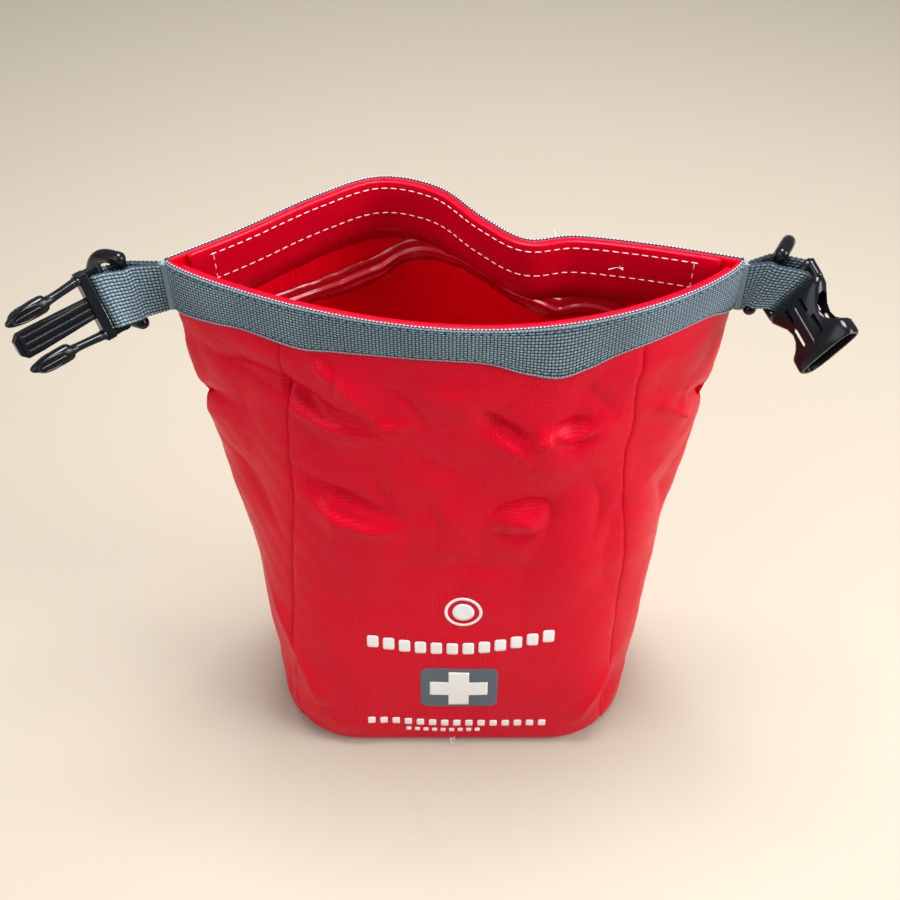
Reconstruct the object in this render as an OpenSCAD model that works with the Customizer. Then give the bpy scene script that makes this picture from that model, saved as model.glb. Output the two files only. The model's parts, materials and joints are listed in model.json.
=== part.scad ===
// Roll-top waterproof first aid kit: a coated-fabric bag with an oval base, a webbing-bound mouth,
// a side-release buckle and two D-rings on webbing loops, and the supplies that stand inside it.
// Millimetres. Z is up, X runs along the mouth, and the front faces -Y.
// The origin is the middle of the base, on the surface that the bag stands on.

/* [Bag] */
// Width of the oval base, left to right
base_w = 154; // [130:1:185]
// Depth of the oval base, front to back
base_d = 98; // [84:1:112]
// Corner radius of the base
base_r = 36; // [28:1:41]
// Height of the unrolled mouth
bag_h = 232; // [195:1:280]
// Thickness of the coated fabric
fabric_t = 0.8; // [0.5:0.1:1.2]
// Radius of the bend where the walls meet the base
base_bend = 5; // [4:1:12]
// Cut width of the front panel and of the back panel
panel_w = 130; // [110:1:150]

/* [Mouth] */
// How far the front lip stands forward of the side folds
front_open = 35; // [28:1:42]
// How far the back lip stands behind the side folds
back_open = 42; // [34:1:50]
// Length of the fabric round one side over the straight distance between the side folds
lip_slack = 1.14; // [1.08:0.01:1.2]
// How far the back lip stands above the front lip
back_rise = 4; // [0:1:8]
// Thickness of the stiffener strip in each hem
stiffener_t = 0.8; // [0.5:0.1:1.2]
// Depth of the hem facing
facing_h = 25; // [22:1:30]
// Distance of the seam tape below the mouth
tape_drop = 37; // [32:1:50]
// Width of the seam tape
tape_h = 12; // [8:1:18]

/* [Webbing] */
// Webbing width
web_w = 20; // [15:1:25]
// Webbing thickness
web_t = 1.2; // [0.8:0.1:1.6]
// Distance from the left corner tack to the male buckle's bar
left_loop_l = 19; // [17:0.2:25]
// Distance from the right corner tack to the female buckle's bar
right_loop_l = 14.4; // [14:0.2:25]
// Yaw of the left loop towards the front
left_yaw = 26; // [10:1:40]
// Yaw of the right loop towards the front
right_yaw = 10; // [0:1:25]
// Lean of the bars on the left loop
left_lean = 22; // [0:1:30]
// Lean of the bars on the right loop
right_lean = 29; // [0:1:35]

/* [Buckle] */
// Width of a buckle's side rail, outside the webbing
rail_w = 1.7; // [1.4:0.1:2.6]
// Length of the male half from its bar to its tips
male_l = 35; // [34:1:42]
// Length of the female half from its bar to its mouth
female_l = 28.5; // [28:0.5:36]
// Thickness of a prong's head
prong_t = 5; // [4:0.2:6]
// Wall of the female half
female_wall = 1.5; // [1.2:0.1:1.8]
// Yaw of the male half towards the front
male_yaw = 38; // [20:1:60]
// Yaw of the female half towards the front
female_yaw = 62; // [20:1:70]
// Radius of a buckle bar and of a D-ring bar
bar_r = 1.9; // [1.5:0.1:2.2]
// Radius of the D-ring's bent rod
ring_r = 2.4; // [1.6:0.1:2.6]

/* [Supplies] */
// Radius of the rolled bandage
bandage_r = 18; // [14:1:19]
// Length of the rolled bandage
bandage_l = 72; // [60:1:90]
// Outer radius of the tape roll
tape_r = 14; // [12:0.5:17]
// Width of the tape roll
tape_w = 25; // [18:1:38]
// Length of the scissors
scissor_l = 92; // [84:1:105]
// Length of the tweezers
tweezer_l = 84; // [70:1:95]
// Width of a dressing packet
packet_w = 40; // [34:1:46]
// Height of a dressing packet
packet_h = 74; // [60:1:90]

/* [Hidden] */

red = [0.78, 0.05, 0.09];
grey = [0.5, 0.57, 0.6];
black = [0.06, 0.06, 0.065];
white = [0.9, 0.89, 0.86];
steel = [0.7, 0.71, 0.73];

fn_round = 48;
fn_ring = 32;
// Gap kept between pieces that move on each other
play = 0.3;
// Gap that keeps a hinge knuckle turning freely
knuckle_play = 0.06;

// ---------- the fabric tube: perimeter, base outline and mouth outline ----------

// Length round the fabric tube, the same at the base and at the mouth
girth = 2 * (base_w + base_d) - (8 - 2 * PI) * base_r;
half_girth = girth / 2;
// Half of the distance between the two side folds at the mouth
mouth_c = half_girth / lip_slack / 2;
gusset_w = half_girth - panel_w;
side_run = base_d / 2 - base_r;
corner_run = base_r * PI / 2;

function smooth(t) = t * t * (3 - 2 * t);
function unit(v) = v / norm(v);

// Base outline at a distance u along the tube from the left fold, front half first
function base_half(u) =
    u > half_girth / 2 ? [-base_half(half_girth - u)[0], base_half(half_girth - u)[1]] :
    u < side_run ? [-base_w / 2, -u] :
    u < side_run + corner_run ?
        let (a = 180 + 90 * (u - side_run) / corner_run)
        [-base_w / 2 + base_r + base_r * cos(a), -base_d / 2 + base_r + base_r * sin(a)] :
    [-base_w / 2 + base_r + u - side_run - corner_run, -base_d / 2];
function base_at(u) = u <= half_girth ? base_half(u)
    : [base_half(girth - u)[0], -base_half(girth - u)[1]];

// Front lip: one full bow, a little fuller on the right
front_steps = 60;
front_lip = [for (k = [0:front_steps])
    let (s = sin(90 * (2 * k / front_steps - 1)))
    [mouth_c * s, -front_open * pow(max(0, cos(90 * s)), 0.75) * (1 + 0.18 * s)]];

// Back lip: shares of the half width and of the opening, from the left fold to the right one
back_knots = [[-1, 0], [-0.76, 0.33], [-0.51, 0.74], [-0.28, 1], [-0.06, 0.84], [0.1, 0.42],
    [0.25, 0.14], [0.43, 0.2], [0.72, 0.12], [1, 0]];
knot_last = len(back_knots) - 1;
function knot(i) = back_knots[max(0, min(knot_last, i))];
function curve(a, b, c, d, t) =
    0.5 * (2 * b + (c - a) * t + (2 * a - 5 * b + 4 * c - d) * t * t
        + (3 * b - 3 * c + d - a) * t * t * t);
knot_steps = 7;
back_lip = [for (k = [0:knot_last * knot_steps])
    let (i = min(knot_last - 1, floor(k / knot_steps)), t = k / knot_steps - i,
        p = curve(knot(i - 1), knot(i), knot(i + 1), knot(i + 2), t))
    [mouth_c * p[0], back_open * p[1]]];

// Distance along a line of points, up to each point
function run(line, i = 0, so_far = 0) = i >= len(line) ? []
    : let (d = i == 0 ? 0 : so_far + norm(line[i] - line[i - 1])) concat([d], run(line, i + 1, d));
function by_share(line, axis) =
    let (d = run(line), total = d[len(d) - 1]) [for (i = [0:len(line) - 1]) [d[i] / total, line[i][axis]]];
front_x = by_share(front_lip, 0);
front_y = by_share(front_lip, 1);
back_x = by_share(back_lip, 0);
back_y = by_share(back_lip, 1);
function mouth_at(u) = u <= half_girth
    ? [lookup(u / half_girth, front_x), lookup(u / half_girth, front_y)]
    : [lookup((girth - u) / half_girth, back_x), lookup((girth - u) / half_girth, back_y)];

// The tube at a height z: the base outline turns smoothly into the mouth outline
function wrap(u) = u - girth * floor(u / girth);
function tube(u, z) =
    let (s = smooth(min(1, z / bag_h)), v = wrap(u)) base_at(v) * (1 - s) + mouth_at(v) * s;
normal_step = 1.2;
function outward(u, z) =
    let (t = tube(u + normal_step, z) - tube(u - normal_step, z)) unit([t[1], -t[0]]);
function bend_inset(z) = z >= base_bend ? 0
    : base_bend - sqrt(base_bend * base_bend - pow(base_bend - z, 2));
// The mouth climbs from the side folds to the middle of the back
function rise(u) = u <= half_girth ? 0 : back_rise * sin(180 * (u - half_girth) / half_girth);
// A point on the fabric, off millimetres outside its outer face
function skin(u, z, off) =
    let (p = tube(u, z) + outward(u, z) * (off - bend_inset(z)))
    [p[0], p[1], z + rise(wrap(u)) * smooth(min(1, z / bag_h))];

// A closed sheet between two grids of points of the same size
module sheet_solid(outer, inner) {
    rows = len(outer);
    cols = len(outer[0]);
    n = rows * cols;
    pts = concat([for (r = outer) for (p = r) p], [for (r = inner) for (p = r) p]);
    quads = concat(
        [for (r = [0:rows - 2]) for (c = [0:cols - 2])
            let (a = r * cols + c) [a, a + 1, a + cols + 1, a + cols]],
        [for (r = [0:rows - 2]) for (c = [0:cols - 2])
            let (a = n + r * cols + c) [a, a + cols, a + cols + 1, a + 1]],
        [for (c = [0:cols - 2]) [c + 1, c, n + c, n + c + 1]],
        [for (c = [0:cols - 2]) let (a = (rows - 1) * cols + c) [a, a + 1, n + a + 1, n + a]],
        [for (r = [0:rows - 2]) let (a = r * cols) [a, a + cols, n + a + cols, n + a]],
        [for (r = [0:rows - 2]) let (a = (r + 1) * cols - 1) [a + cols, a, n + a, n + a + cols]]);
    tris = [for (q = quads) for (t = [[q[0], q[2], q[1]], [q[0], q[3], q[2]]]) t];
    polyhedron(points = pts, faces = tris, convexity = 10);
}

// ---------- where the plies start and end, in height and round the tube ----------

// Webbing sewn round the outside of the mouth, just below the fabric's edge
web_top = bag_h - 1.2;
web_mid_z = web_top - web_w / 2;
// Hem: a stiffener strip between the fabric and an inner facing
hem_end = 17;
stiffener_h = web_w - 4;
stiffener_z = web_mid_z - stiffener_h / 2;
// Welded tape inside the mouth
seam_z = bag_h - tape_drop - tape_h / 2;

// Every ply is cut on one shared grid, so that plies lie face to face without cutting into each other
function sorted(v) = len(v) < 2 ? v
    : let (m = v[0]) concat(sorted([for (x = v) if (x < m) x]), [m], sorted([for (x = v) if (x > m) x]));
// The values of a rising list from a to b
function between(v, a, b) = [for (x = v) if (x > a - 0.001 && x < b + 0.001) x];

bend_steps = 5;
wall_steps = 11;
z_lines = sorted(concat(
    [for (k = [0:bend_steps - 1])
        fabric_t + (base_bend - fabric_t) * (1 - cos(90 * k / bend_steps))],
    [for (k = [0:wall_steps]) base_bend + (seam_z - base_bend) * k / wall_steps],
    [seam_z + tape_h, bag_h - facing_h, web_top - web_w, web_mid_z, web_top, bag_h],
    [stiffener_z, stiffener_z + stiffener_h]));

u_step = 4.3;
half_breaks = [0, hem_end, gusset_w / 2, half_girth - gusset_w / 2, half_girth - hem_end];
breaks = concat(half_breaks, [for (b = half_breaks) b + half_girth], [girth]);
u_once = [for (i = [0:len(breaks) - 2])
    let (length = breaks[i + 1] - breaks[i], n = ceil(length / u_step))
    for (k = [0:n - 1]) breaks[i] + length * k / n];
u_lines = concat([for (u = u_once) u - girth], u_once, [girth]);

// A piece of the tube's wall from u0 to u1, between two heights and two offsets
module wall(u0, u1, z0, z1, off_out, off_in) {
    us = between(u_lines, u0, u1);
    zs = between(z_lines, z0, z1);
    grid = function(off) [for (z = zs) [for (u = us) skin(u, z, off)]];
    sheet_solid(grid(off_out), grid(off_in));
}

// ---------- bag ----------

module shell(u0, u1) { color(red) wall(u0, u1, fabric_t, bag_h, 0, -fabric_t); }
module front_panel() { shell(gusset_w / 2, half_girth - gusset_w / 2); }
module back_panel() { shell(half_girth + gusset_w / 2, girth - gusset_w / 2); }
module gusset(mid) { shell(mid - gusset_w / 2, mid + gusset_w / 2); }
module left_gusset() { gusset(0); }
module right_gusset() { gusset(half_girth); }

base_edge_steps = 96;
module base_panel() {
    color(red) linear_extrude(fabric_t)
        polygon([for (k = [0:base_edge_steps - 1])
            let (p = skin(girth * k / base_edge_steps, fabric_t, 0)) [p[0], p[1]]]);
}

module webbing(start) {
    color(grey) wall(start, start + half_girth, web_top - web_w, web_top, web_t, 0);
}
module front_webbing() { webbing(0); }
module back_webbing() { webbing(half_girth); }

module hem_strip(start, z0, z1, off_out, off_in) {
    wall(start + hem_end, start + half_girth - hem_end, z0, z1, off_out, off_in);
}
module stiffener(start) {
    color(white)
        hem_strip(start, stiffener_z, stiffener_z + stiffener_h, -fabric_t, -fabric_t - stiffener_t);
}
module front_stiffener() { stiffener(0); }
module back_stiffener() { stiffener(half_girth); }
facing_off = fabric_t + stiffener_t;
module facing(start) {
    color(red) hem_strip(start, bag_h - facing_h, bag_h, -facing_off, -facing_off - fabric_t);
}
module front_facing() { facing(0); }
module back_facing() { facing(half_girth); }

seam_tape_t = 0.5;
module seam_tape(start) {
    color(red) hem_strip(start, seam_z, seam_z + tape_h, -fabric_t, -fabric_t - seam_tape_t);
}
module front_seam_tape() { seam_tape(0); }
module back_seam_tape() { seam_tape(half_girth); }

// ---------- webbing loops at the two ends of the mouth ----------

// The loops hang on a stitched tack at each side fold
tack_l = 1.2;
tack_x = mouth_c + web_t + tack_l;
module corner_tack(side) {
    color(grey) translate([side * (tack_x - tack_l / 2), 0, web_mid_z])
        cube([tack_l, 2 * web_t, web_w], center = true);
}
module left_corner_tack() { corner_tack(-1); }
module right_corner_tack() { corner_tack(1); }

// Each strap leaves its tack upright, turns until it lies along its bars, and carries the
// D-ring's bar between the tack and the buckle's bar.
ring_gap = 2 * bar_r + 3.6;
bar_across = 0.6;
ring_across = -1.2;
// The strap lies loosely round a bar, because it twists on its way to the next one
wrap_r = bar_r + 2 * play + web_t / 2;
// Clear length of strap between the tack and the loop, where it flexes
flex_gap = 1.6;
upright = [0, 0, 1];
function heading(yaw) = [cos(yaw), sin(yaw), 0];
function leaning(lean, yaw) = [sin(lean) * cos(yaw), sin(lean) * sin(yaw), cos(lean)];
left_out = heading(180 + left_yaw);
right_out = heading(-right_yaw);
left_axis = leaning(left_lean, 142);
right_axis = leaning(right_lean, -13);
// The strap twists evenly, so a ring's bar leans half as far as the buckle's
left_ring_axis = unit(upright + left_axis);
right_ring_axis = unit(upright + right_axis);
left_tack = [-tack_x, 0, web_mid_z];
right_tack = [tack_x, 0, web_mid_z];
// Unit vector across the strap that points to the front
function across(out, axis) =
    let (c = unit(cross(axis, out))) c[1] < 0 ? c : -c;
// Unit vector on the far side of a bar, square to the bar
function far_side(out, axis) = unit(out - (out * axis) * axis);

function bar_mid(tack, out, axis, along, lift) =
    tack + along * out + bar_across * across(out, axis) + lift * upright;
function ring_mid(tack, bar, out, axis) =
    bar - ring_gap * unit(bar - tack) + (ring_across - bar_across) * across(out, axis);
left_bar = bar_mid(left_tack, left_out, left_axis, left_loop_l, 2);
right_bar = bar_mid(right_tack, right_out, right_axis, right_loop_l, 3);
left_ring_bar = ring_mid(left_tack, left_bar, left_out, left_axis);
right_ring_bar = ring_mid(right_tack, right_bar, right_out, right_axis);

// Centre line of a loop: out along the front over the ring's bar, round the buckle's bar, and back
turn_steps = 12;
ring_turn = [45, 0];
function loop_line(tack, out, axis, bar, ring, ring_axis) =
    let (c0 = across(out, upright), c = across(out, axis), e = far_side(out, axis),
        cr = across(out, ring_axis), er = far_side(out, ring_axis), start = tack + flex_gap * out,
        front = [for (a = ring_turn) ring + wrap_r * (cos(a) * cr - sin(a) * er)],
        back = [for (a = [ring_turn[1], ring_turn[0]]) ring - wrap_r * (cos(a) * cr + sin(a) * er)])
    concat(
        [start + (web_t / 2 + 0.1) * c0], front,
        [for (k = [0:turn_steps]) let (a = 90 - 180 * k / turn_steps)
            bar + wrap_r * (sin(a) * c + cos(a) * e)],
        back, [start - (web_t / 2 + 0.1) * c0]);

module strap_loop(tack, out, axis, bar, ring, ring_axis) {
    line = loop_line(tack, out, axis, bar, ring, ring_axis);
    last = len(line) - 1;
    rings = len(ring_turn);
    width = [for (i = [0:last])
        let (end = min(i, last - i)) end == 0 ? upright : end <= rings ? ring_axis : axis];
    face = [for (i = [0:last])
        let (t = line[min(last, i + 1)] - line[max(0, i - 1)]) unit(cross(t, width[i]))];
    side = function(off) [for (w = [-1, 0, 1])
        [for (i = [0:last]) line[i] + off * face[i] + w * web_w / 2 * width[i]]];
    color(grey) sheet_solid(side(web_t / 2), side(-web_t / 2));
}
module left_loop() {
    strap_loop(left_tack, left_out, left_axis, left_bar, left_ring_bar, left_ring_axis);
}
module right_loop() {
    strap_loop(right_tack, right_out, right_axis, right_bar, right_ring_bar, right_ring_axis);
}

// ---------- hardware, drawn with the bar on Z and the piece pointing along +X ----------

// The bar ends carry the side rails outside the webbing
rail_in = web_w / 2 + 2 * play;
buckle_w = 2 * (rail_in + rail_w);
ring_bend = web_w / 2 + 2 * play + ring_r;
ring_leg = 4;
// The socket holds a prong's head with play on both faces
female_t = prong_t + 2 * (play + female_wall);

module plate(outline, t) {
    rotate([90, 0, 0]) linear_extrude(t, center = true) polygon(outline);
}
// An outline and its mirror image across the length
function mirrored(half) = concat(half, [for (i = [len(half) - 1:-1:0]) [half[i][0], -half[i][1]]]);

module d_ring() {
    color(black) union() {
        cylinder(r = bar_r, h = 2 * ring_bend, center = true, $fn = fn_round);
        for (s = [-1, 1]) {
            translate([0, 0, s * ring_bend]) sphere(r = ring_r, $fn = fn_ring);
            translate([0, 0, s * ring_bend]) rotate([0, 90, 0])
                cylinder(r = ring_r, h = ring_leg, $fn = fn_ring);
        }
        translate([ring_leg, 0, 0]) rotate([90, 0, 0]) rotate([0, 0, -90])
            rotate_extrude(angle = 180, $fn = fn_round) translate([ring_bend, 0])
                circle(r = ring_r, $fn = fn_ring);
    }
}

rail_t = 2 * bar_r - 1;
cross_in = wrap_r + web_t / 2 + 0.7;
cross_l = 3.4;
knuckle_x = cross_in + cross_l;
knuckle_z = buckle_w / 2 - 1.9;
knuckle_r = 1.3;
guide_w = 8.8;
guide_tip = male_l + 0.5;
guide_t = 3.4;
rib_w = 1;
rib_t = 4.6;
module bar_frame() {
    cylinder(r = bar_r, h = buckle_w, center = true, $fn = fn_round);
    for (s = [-1, 1]) translate([cross_in / 2, 0, s * (rail_in + buckle_w / 2) / 2])
        cube([cross_in, rail_t, buckle_w / 2 - rail_in], center = true);
}
module male_frame() {
    color(black) place_male() difference() {
        union() {
            bar_frame();
            translate([cross_in + cross_l / 2, 0, 0]) cube([cross_l, rail_t + 2.2, buckle_w], center = true);
            plate(mirrored([[cross_in + 1, guide_w / 2 - 0.8], [knuckle_x + 2, guide_w / 2 - 0.8],
                [guide_tip - 7, guide_w / 2], [guide_tip - 2, guide_w / 2],
                [guide_tip, guide_w / 2 - 2]]), guide_t);
            for (s = [-1, 0, 1])
                translate([(knuckle_x + guide_tip) / 2 - 1, 0, s * (guide_w / 2 - 0.8 - rib_w)])
                cube([guide_tip - knuckle_x - 3, rib_t, rib_w], center = true);
            translate([guide_tip - 2.5, 0, 0]) cube([1.4, rib_t, guide_w - 1.6], center = true);
        }
        for (s = [-1, 1]) translate([knuckle_x, 0, s * knuckle_z]) rotate([90, 0, 0])
            cylinder(r = knuckle_r + knuckle_play, h = 4 * rail_t, center = true, $fn = fn_round);
    }
}

// A spring arm: a round root in the frame, a slim arm and a leaf-shaped head with a latch step
arm_t = prong_t - 1;
head_in = 6.6;
head_x = 20;
module prong() {
    color(black) {
        translate([knuckle_x, 0, knuckle_z]) rotate([90, 0, 0])
            cylinder(r = knuckle_r, h = arm_t, center = true, $fn = fn_round);
        plate([[knuckle_x + 0.2, knuckle_z - 0.9], [knuckle_x + 6, knuckle_z - 1.5],
            [head_x + 1, knuckle_z - 2.5], [head_x + 1, knuckle_z - 0.4],
            [knuckle_x + 6, knuckle_z + 0.5], [knuckle_x + 0.2, knuckle_z + 0.9]], arm_t);
        plate([[head_x + 0.4, head_in + 1.4], [head_x + 3, head_in + 0.3], [head_x + 7, head_in],
            [male_l - 3, head_in + 0.2], [male_l, head_in + 1], [male_l - 0.4, head_in + 2.4],
            [male_l - 3.5, buckle_w / 2 - 2.3], [male_l - 7, buckle_w / 2 - 0.9],
            [head_x + 4, buckle_w / 2], [head_x, buckle_w / 2 + 0.2], [head_x, knuckle_z - 1]], prong_t);
    }
}
module upper_prong() { place_male() prong(); }
module lower_prong() { place_male() mirror([0, 0, 1]) prong(); }

// The female half: a flat socket with a waist, so that the prongs show at both sides
socket_in = cross_in + 3;
waist = 5.6;
module female_buckle() {
    h = buckle_w / 2;
    color(black) place_female() difference() {
        union() {
            bar_frame();
            difference() {
                plate(mirrored([[cross_in, h - 0.8], [cross_in + 2, h], [cross_in + 5, h - 1],
                    [cross_in + 8, h - 3.2], [cross_in + 12, waist + 1.6], [female_l - 9, waist + 2.6],
                    [female_l - 6.5, h - 1.6], [female_l - 5.5, h], [female_l, h + 0.3]]), female_t);
                for (s = [-1, 1]) translate([female_l - 0.8, s * female_t / 2, 0])
                    rotate([0, 0, 45]) cube([1, 1, 2 * buckle_w], center = true);
            }
        }
        translate([(socket_in + female_l + 1) / 2, 0, 0])
            cube([female_l + 1 - socket_in, female_t - 2 * female_wall, buckle_w - 2 * female_wall - 1],
                center = true);
        for (s = [-1, 1]) translate([(socket_in + female_l) / 2, s * female_t / 2, 0])
            cube([female_l - socket_in - 7, 0.8, 3], center = true);
    }
}

// ---------- placing the hardware on the loops ----------

// A frame whose Z is the bar and whose X points as far along dir as the bar allows
module on_bar(mid, axis, dir) {
    x = unit(dir - (dir * axis) * axis);
    y = cross(axis, x);
    multmatrix([for (i = [0:2]) [x[i], y[i], axis[i], mid[i]]]) children();
}
module place_male() { on_bar(left_bar, left_axis, heading(180 + male_yaw)) children(); }
module place_female() { on_bar(right_bar, right_axis, heading(-female_yaw)) children(); }
// The rings swing back from the straps
left_ring_yaw = 32;
right_ring_yaw = 62;
module left_d_ring() { on_bar(left_ring_bar, left_ring_axis, heading(180 - left_ring_yaw)) d_ring(); }
module right_d_ring() { on_bar(right_ring_bar, right_ring_axis, heading(right_ring_yaw)) d_ring(); }

// ---------- supplies standing on the base ----------

floor_z = fabric_t + play;
tape_at = [-1, -8];
bandage_at = [tape_at[0] - tape_r - 4 - bandage_r, 3];
module rolled_bandage() {
    color(white) translate([bandage_at[0], bandage_at[1], floor_z])
        cylinder(r = bandage_r, h = bandage_l, $fn = fn_round);
}

core_r = 9.5;
core_t = 1.4;
module tape_core() {
    color(white) translate([tape_at[0], tape_at[1], floor_z]) difference() {
        cylinder(r = core_r, h = tape_w, $fn = fn_round);
        translate([0, 0, -1]) cylinder(r = core_r - core_t, h = tape_w + 2, $fn = fn_round);
    }
}
module tape_roll() {
    color(white) translate([tape_at[0], tape_at[1], floor_z]) difference() {
        cylinder(r = tape_r, h = tape_w, $fn = fn_round);
        translate([0, 0, -1]) cylinder(r = core_r, h = tape_w + 2, $fn = fn_round);
    }
}

packet_t = 2.2;
packet_n = 3;
sheet_gap = 0.1;
packets_at = [tape_at[0] + tape_r + 3 + packet_w / 2, -18.4];
module dressing_packets() {
    for (k = [0:packet_n - 1])
        color(white)
            translate([packets_at[0] - packet_w / 2, packets_at[1] + k * (packet_t + sheet_gap), floor_z])
            cube([packet_w, packet_t, packet_h]);
}

// Scissors stand point down, flat along X, with one blade turning on the rivet
blade_t = 1.2;
grip_t = 4.2;
scissors_at = [packets_at[0],
    packets_at[1] + packet_n * (packet_t + sheet_gap) + 2.6 + (grip_t + blade_t) / 2];
rivet_z = floor_z + 0.46 * scissor_l;
rivet_r = 1.6;
eye_r = 7.2;
eye_wall = 2.6;
eye_x = 10.2;
eye_z = scissor_l - eye_r - eye_wall;
module scissors_frame() { translate([scissors_at[0], scissors_at[1], floor_z]) children(); }
// One blade, from its point up past the rivet to its tang
module blade() {
    h = rivet_z - floor_z;
    rotate([90, 0, 0]) linear_extrude(blade_t, center = true) difference() {
        polygon([[0.6, 0], [0.9, h - 8], [3.6, h - 3], [3.8, h + 3], [7.4, h + 12],
            [8.6, eye_z - eye_r - 1], [5.4, eye_z - eye_r - 1], [1.6, h + 9],
            [-3.6, h + 3], [-4.4, h - 2], [-4.2, h - 8], [-1.6, 3]]);
        translate([0, h]) circle(r = rivet_r + knuckle_play, $fn = fn_round);
    }
}
module grip() {
    difference() {
        union() {
            translate([eye_x, 0, eye_z]) rotate([90, 0, 0])
                cylinder(r = eye_r + eye_wall, h = grip_t, center = true, $fn = fn_round);
            translate([7.2, 0, eye_z - eye_r - 4]) cube([6.2, grip_t, 10], center = true);
        }
        translate([eye_x, 0, eye_z]) rotate([90, 0, 0])
            cylinder(r = eye_r, h = 3 * grip_t, center = true, $fn = fn_round);
        translate([0, -blade_t / 2, 0]) cube([20, blade_t, eye_z - eye_r - 1]);
    }
}
module scissor_blade_a() { color(steel) scissors_frame() translate([0, -blade_t / 2, 0]) blade(); }
module scissor_grip_a() { color(black) scissors_frame() translate([0, -blade_t / 2, 0]) grip(); }
module second_half() {
    scissors_frame() translate([0, blade_t / 2 + 0.1, 0]) mirror([1, 0, 0]) children();
}
module scissor_blade_b() { color(steel) second_half() blade(); }
module scissor_grip_b() { color(black) second_half() grip(); }
module scissor_rivet() {
    color(steel) translate([scissors_at[0], scissors_at[1], rivet_z]) rotate([90, 0, 0]) {
        cylinder(r = rivet_r, h = 2 * blade_t + 0.5, center = true, $fn = fn_round);
        translate([0, 0, blade_t + 0.05]) cylinder(r = 2.8, h = 0.7, $fn = fn_round);
        translate([0, 0, -blade_t - 0.95]) cylinder(r = 2.8, h = 0.7, $fn = fn_round);
    }
}

// Tweezers stand point down: two sprung legs joined at the top
leg_t = 1;
leg_w = 7;
leg_gap = 6;
tweezers_at = [packets_at[0] + packet_w / 2 + 5 + leg_gap / 2, tape_at[1]];
module tweezers() {
    color(steel) translate([tweezers_at[0], tweezers_at[1], floor_z])
        for (s = [0, 1]) mirror([s, 0, 0]) rotate([90, 0, 0]) linear_extrude(leg_w, center = true)
            polygon([[0, tweezer_l], [0, tweezer_l - 8], [leg_gap / 2 - leg_t, tweezer_l - 22],
                [leg_gap / 2 - leg_t, 26], [0.3, 3], [0.3, 0], [1, 0], [leg_gap / 2, 26],
                [leg_gap / 2, tweezer_l - 22], [leg_t, tweezer_l - 7], [leg_t, tweezer_l]]);
}

front_panel();
back_panel();
left_gusset();
right_gusset();
base_panel();
front_webbing();
back_webbing();
front_facing();
back_facing();
front_stiffener();
back_stiffener();
front_seam_tape();
back_seam_tape();
left_corner_tack();
right_corner_tack();
left_loop();
right_loop();
left_d_ring();
right_d_ring();
male_frame();
upper_prong();
lower_prong();
female_buckle();
rolled_bandage();
tape_core();
tape_roll();
dressing_packets();
scissor_blade_a();
scissor_grip_a();
scissor_rivet();
scissor_blade_b();
scissor_grip_b();
tweezers();
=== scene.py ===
"""Roll-top first aid bag: coated shell, webbing-bound mouth, side-release buckle, D-rings and supplies."""
import json
import math

import bmesh
import bpy
import numpy as np
from bpy.props import FloatProperty, FloatVectorProperty, PointerProperty
from bpy.types import Operator, Panel, PropertyGroup
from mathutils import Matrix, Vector

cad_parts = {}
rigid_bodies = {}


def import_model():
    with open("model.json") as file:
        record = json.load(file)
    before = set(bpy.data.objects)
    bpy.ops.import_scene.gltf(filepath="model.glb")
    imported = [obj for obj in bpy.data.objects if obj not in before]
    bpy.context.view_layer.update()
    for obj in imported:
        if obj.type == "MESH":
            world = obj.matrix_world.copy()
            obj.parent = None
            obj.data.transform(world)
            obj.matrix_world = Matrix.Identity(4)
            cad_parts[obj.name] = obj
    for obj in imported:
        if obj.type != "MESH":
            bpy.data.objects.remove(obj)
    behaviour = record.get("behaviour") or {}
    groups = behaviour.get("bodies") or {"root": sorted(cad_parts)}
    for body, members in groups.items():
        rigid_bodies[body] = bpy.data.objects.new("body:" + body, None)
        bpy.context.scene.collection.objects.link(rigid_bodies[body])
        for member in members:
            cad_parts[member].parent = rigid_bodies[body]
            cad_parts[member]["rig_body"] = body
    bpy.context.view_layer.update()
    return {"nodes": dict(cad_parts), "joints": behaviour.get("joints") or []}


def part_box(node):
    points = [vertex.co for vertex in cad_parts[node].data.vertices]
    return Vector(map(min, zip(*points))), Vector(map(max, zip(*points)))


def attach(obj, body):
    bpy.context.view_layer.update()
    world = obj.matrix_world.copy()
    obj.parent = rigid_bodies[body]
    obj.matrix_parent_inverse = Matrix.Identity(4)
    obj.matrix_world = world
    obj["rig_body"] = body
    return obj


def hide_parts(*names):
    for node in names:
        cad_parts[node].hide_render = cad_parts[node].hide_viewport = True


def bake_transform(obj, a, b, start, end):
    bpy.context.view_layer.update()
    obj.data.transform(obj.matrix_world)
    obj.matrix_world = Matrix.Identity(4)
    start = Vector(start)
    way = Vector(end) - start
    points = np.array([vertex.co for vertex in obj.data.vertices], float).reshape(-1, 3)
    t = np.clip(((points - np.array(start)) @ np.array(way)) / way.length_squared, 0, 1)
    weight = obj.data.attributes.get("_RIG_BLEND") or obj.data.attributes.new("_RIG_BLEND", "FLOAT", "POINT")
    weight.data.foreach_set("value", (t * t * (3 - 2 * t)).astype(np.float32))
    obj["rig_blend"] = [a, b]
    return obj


bl_info = {
    "name": "First Aid Bag",
    "version": (1, 0, 0),
    "blender": (4, 5, 0),
    "location": "3D View > Sidebar > First Aid Bag",
    "description": "Builds a roll-top first aid bag round its packed frame",
    "category": "Add Mesh",
}

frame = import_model()
MM = 0.001


# ---------- settings that a user would change ----------

def length(name, default, description):
    return FloatProperty(name=name, default=default, description=description, unit="LENGTH", precision=4)


def colour(name, default, description):
    return FloatVectorProperty(name=name, default=default, description=description,
                               subtype="COLOR", size=3, min=0.0, max=1.0)


def power(name, default, description):
    return FloatProperty(name=name, default=default, description=description, unit="POWER")


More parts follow.
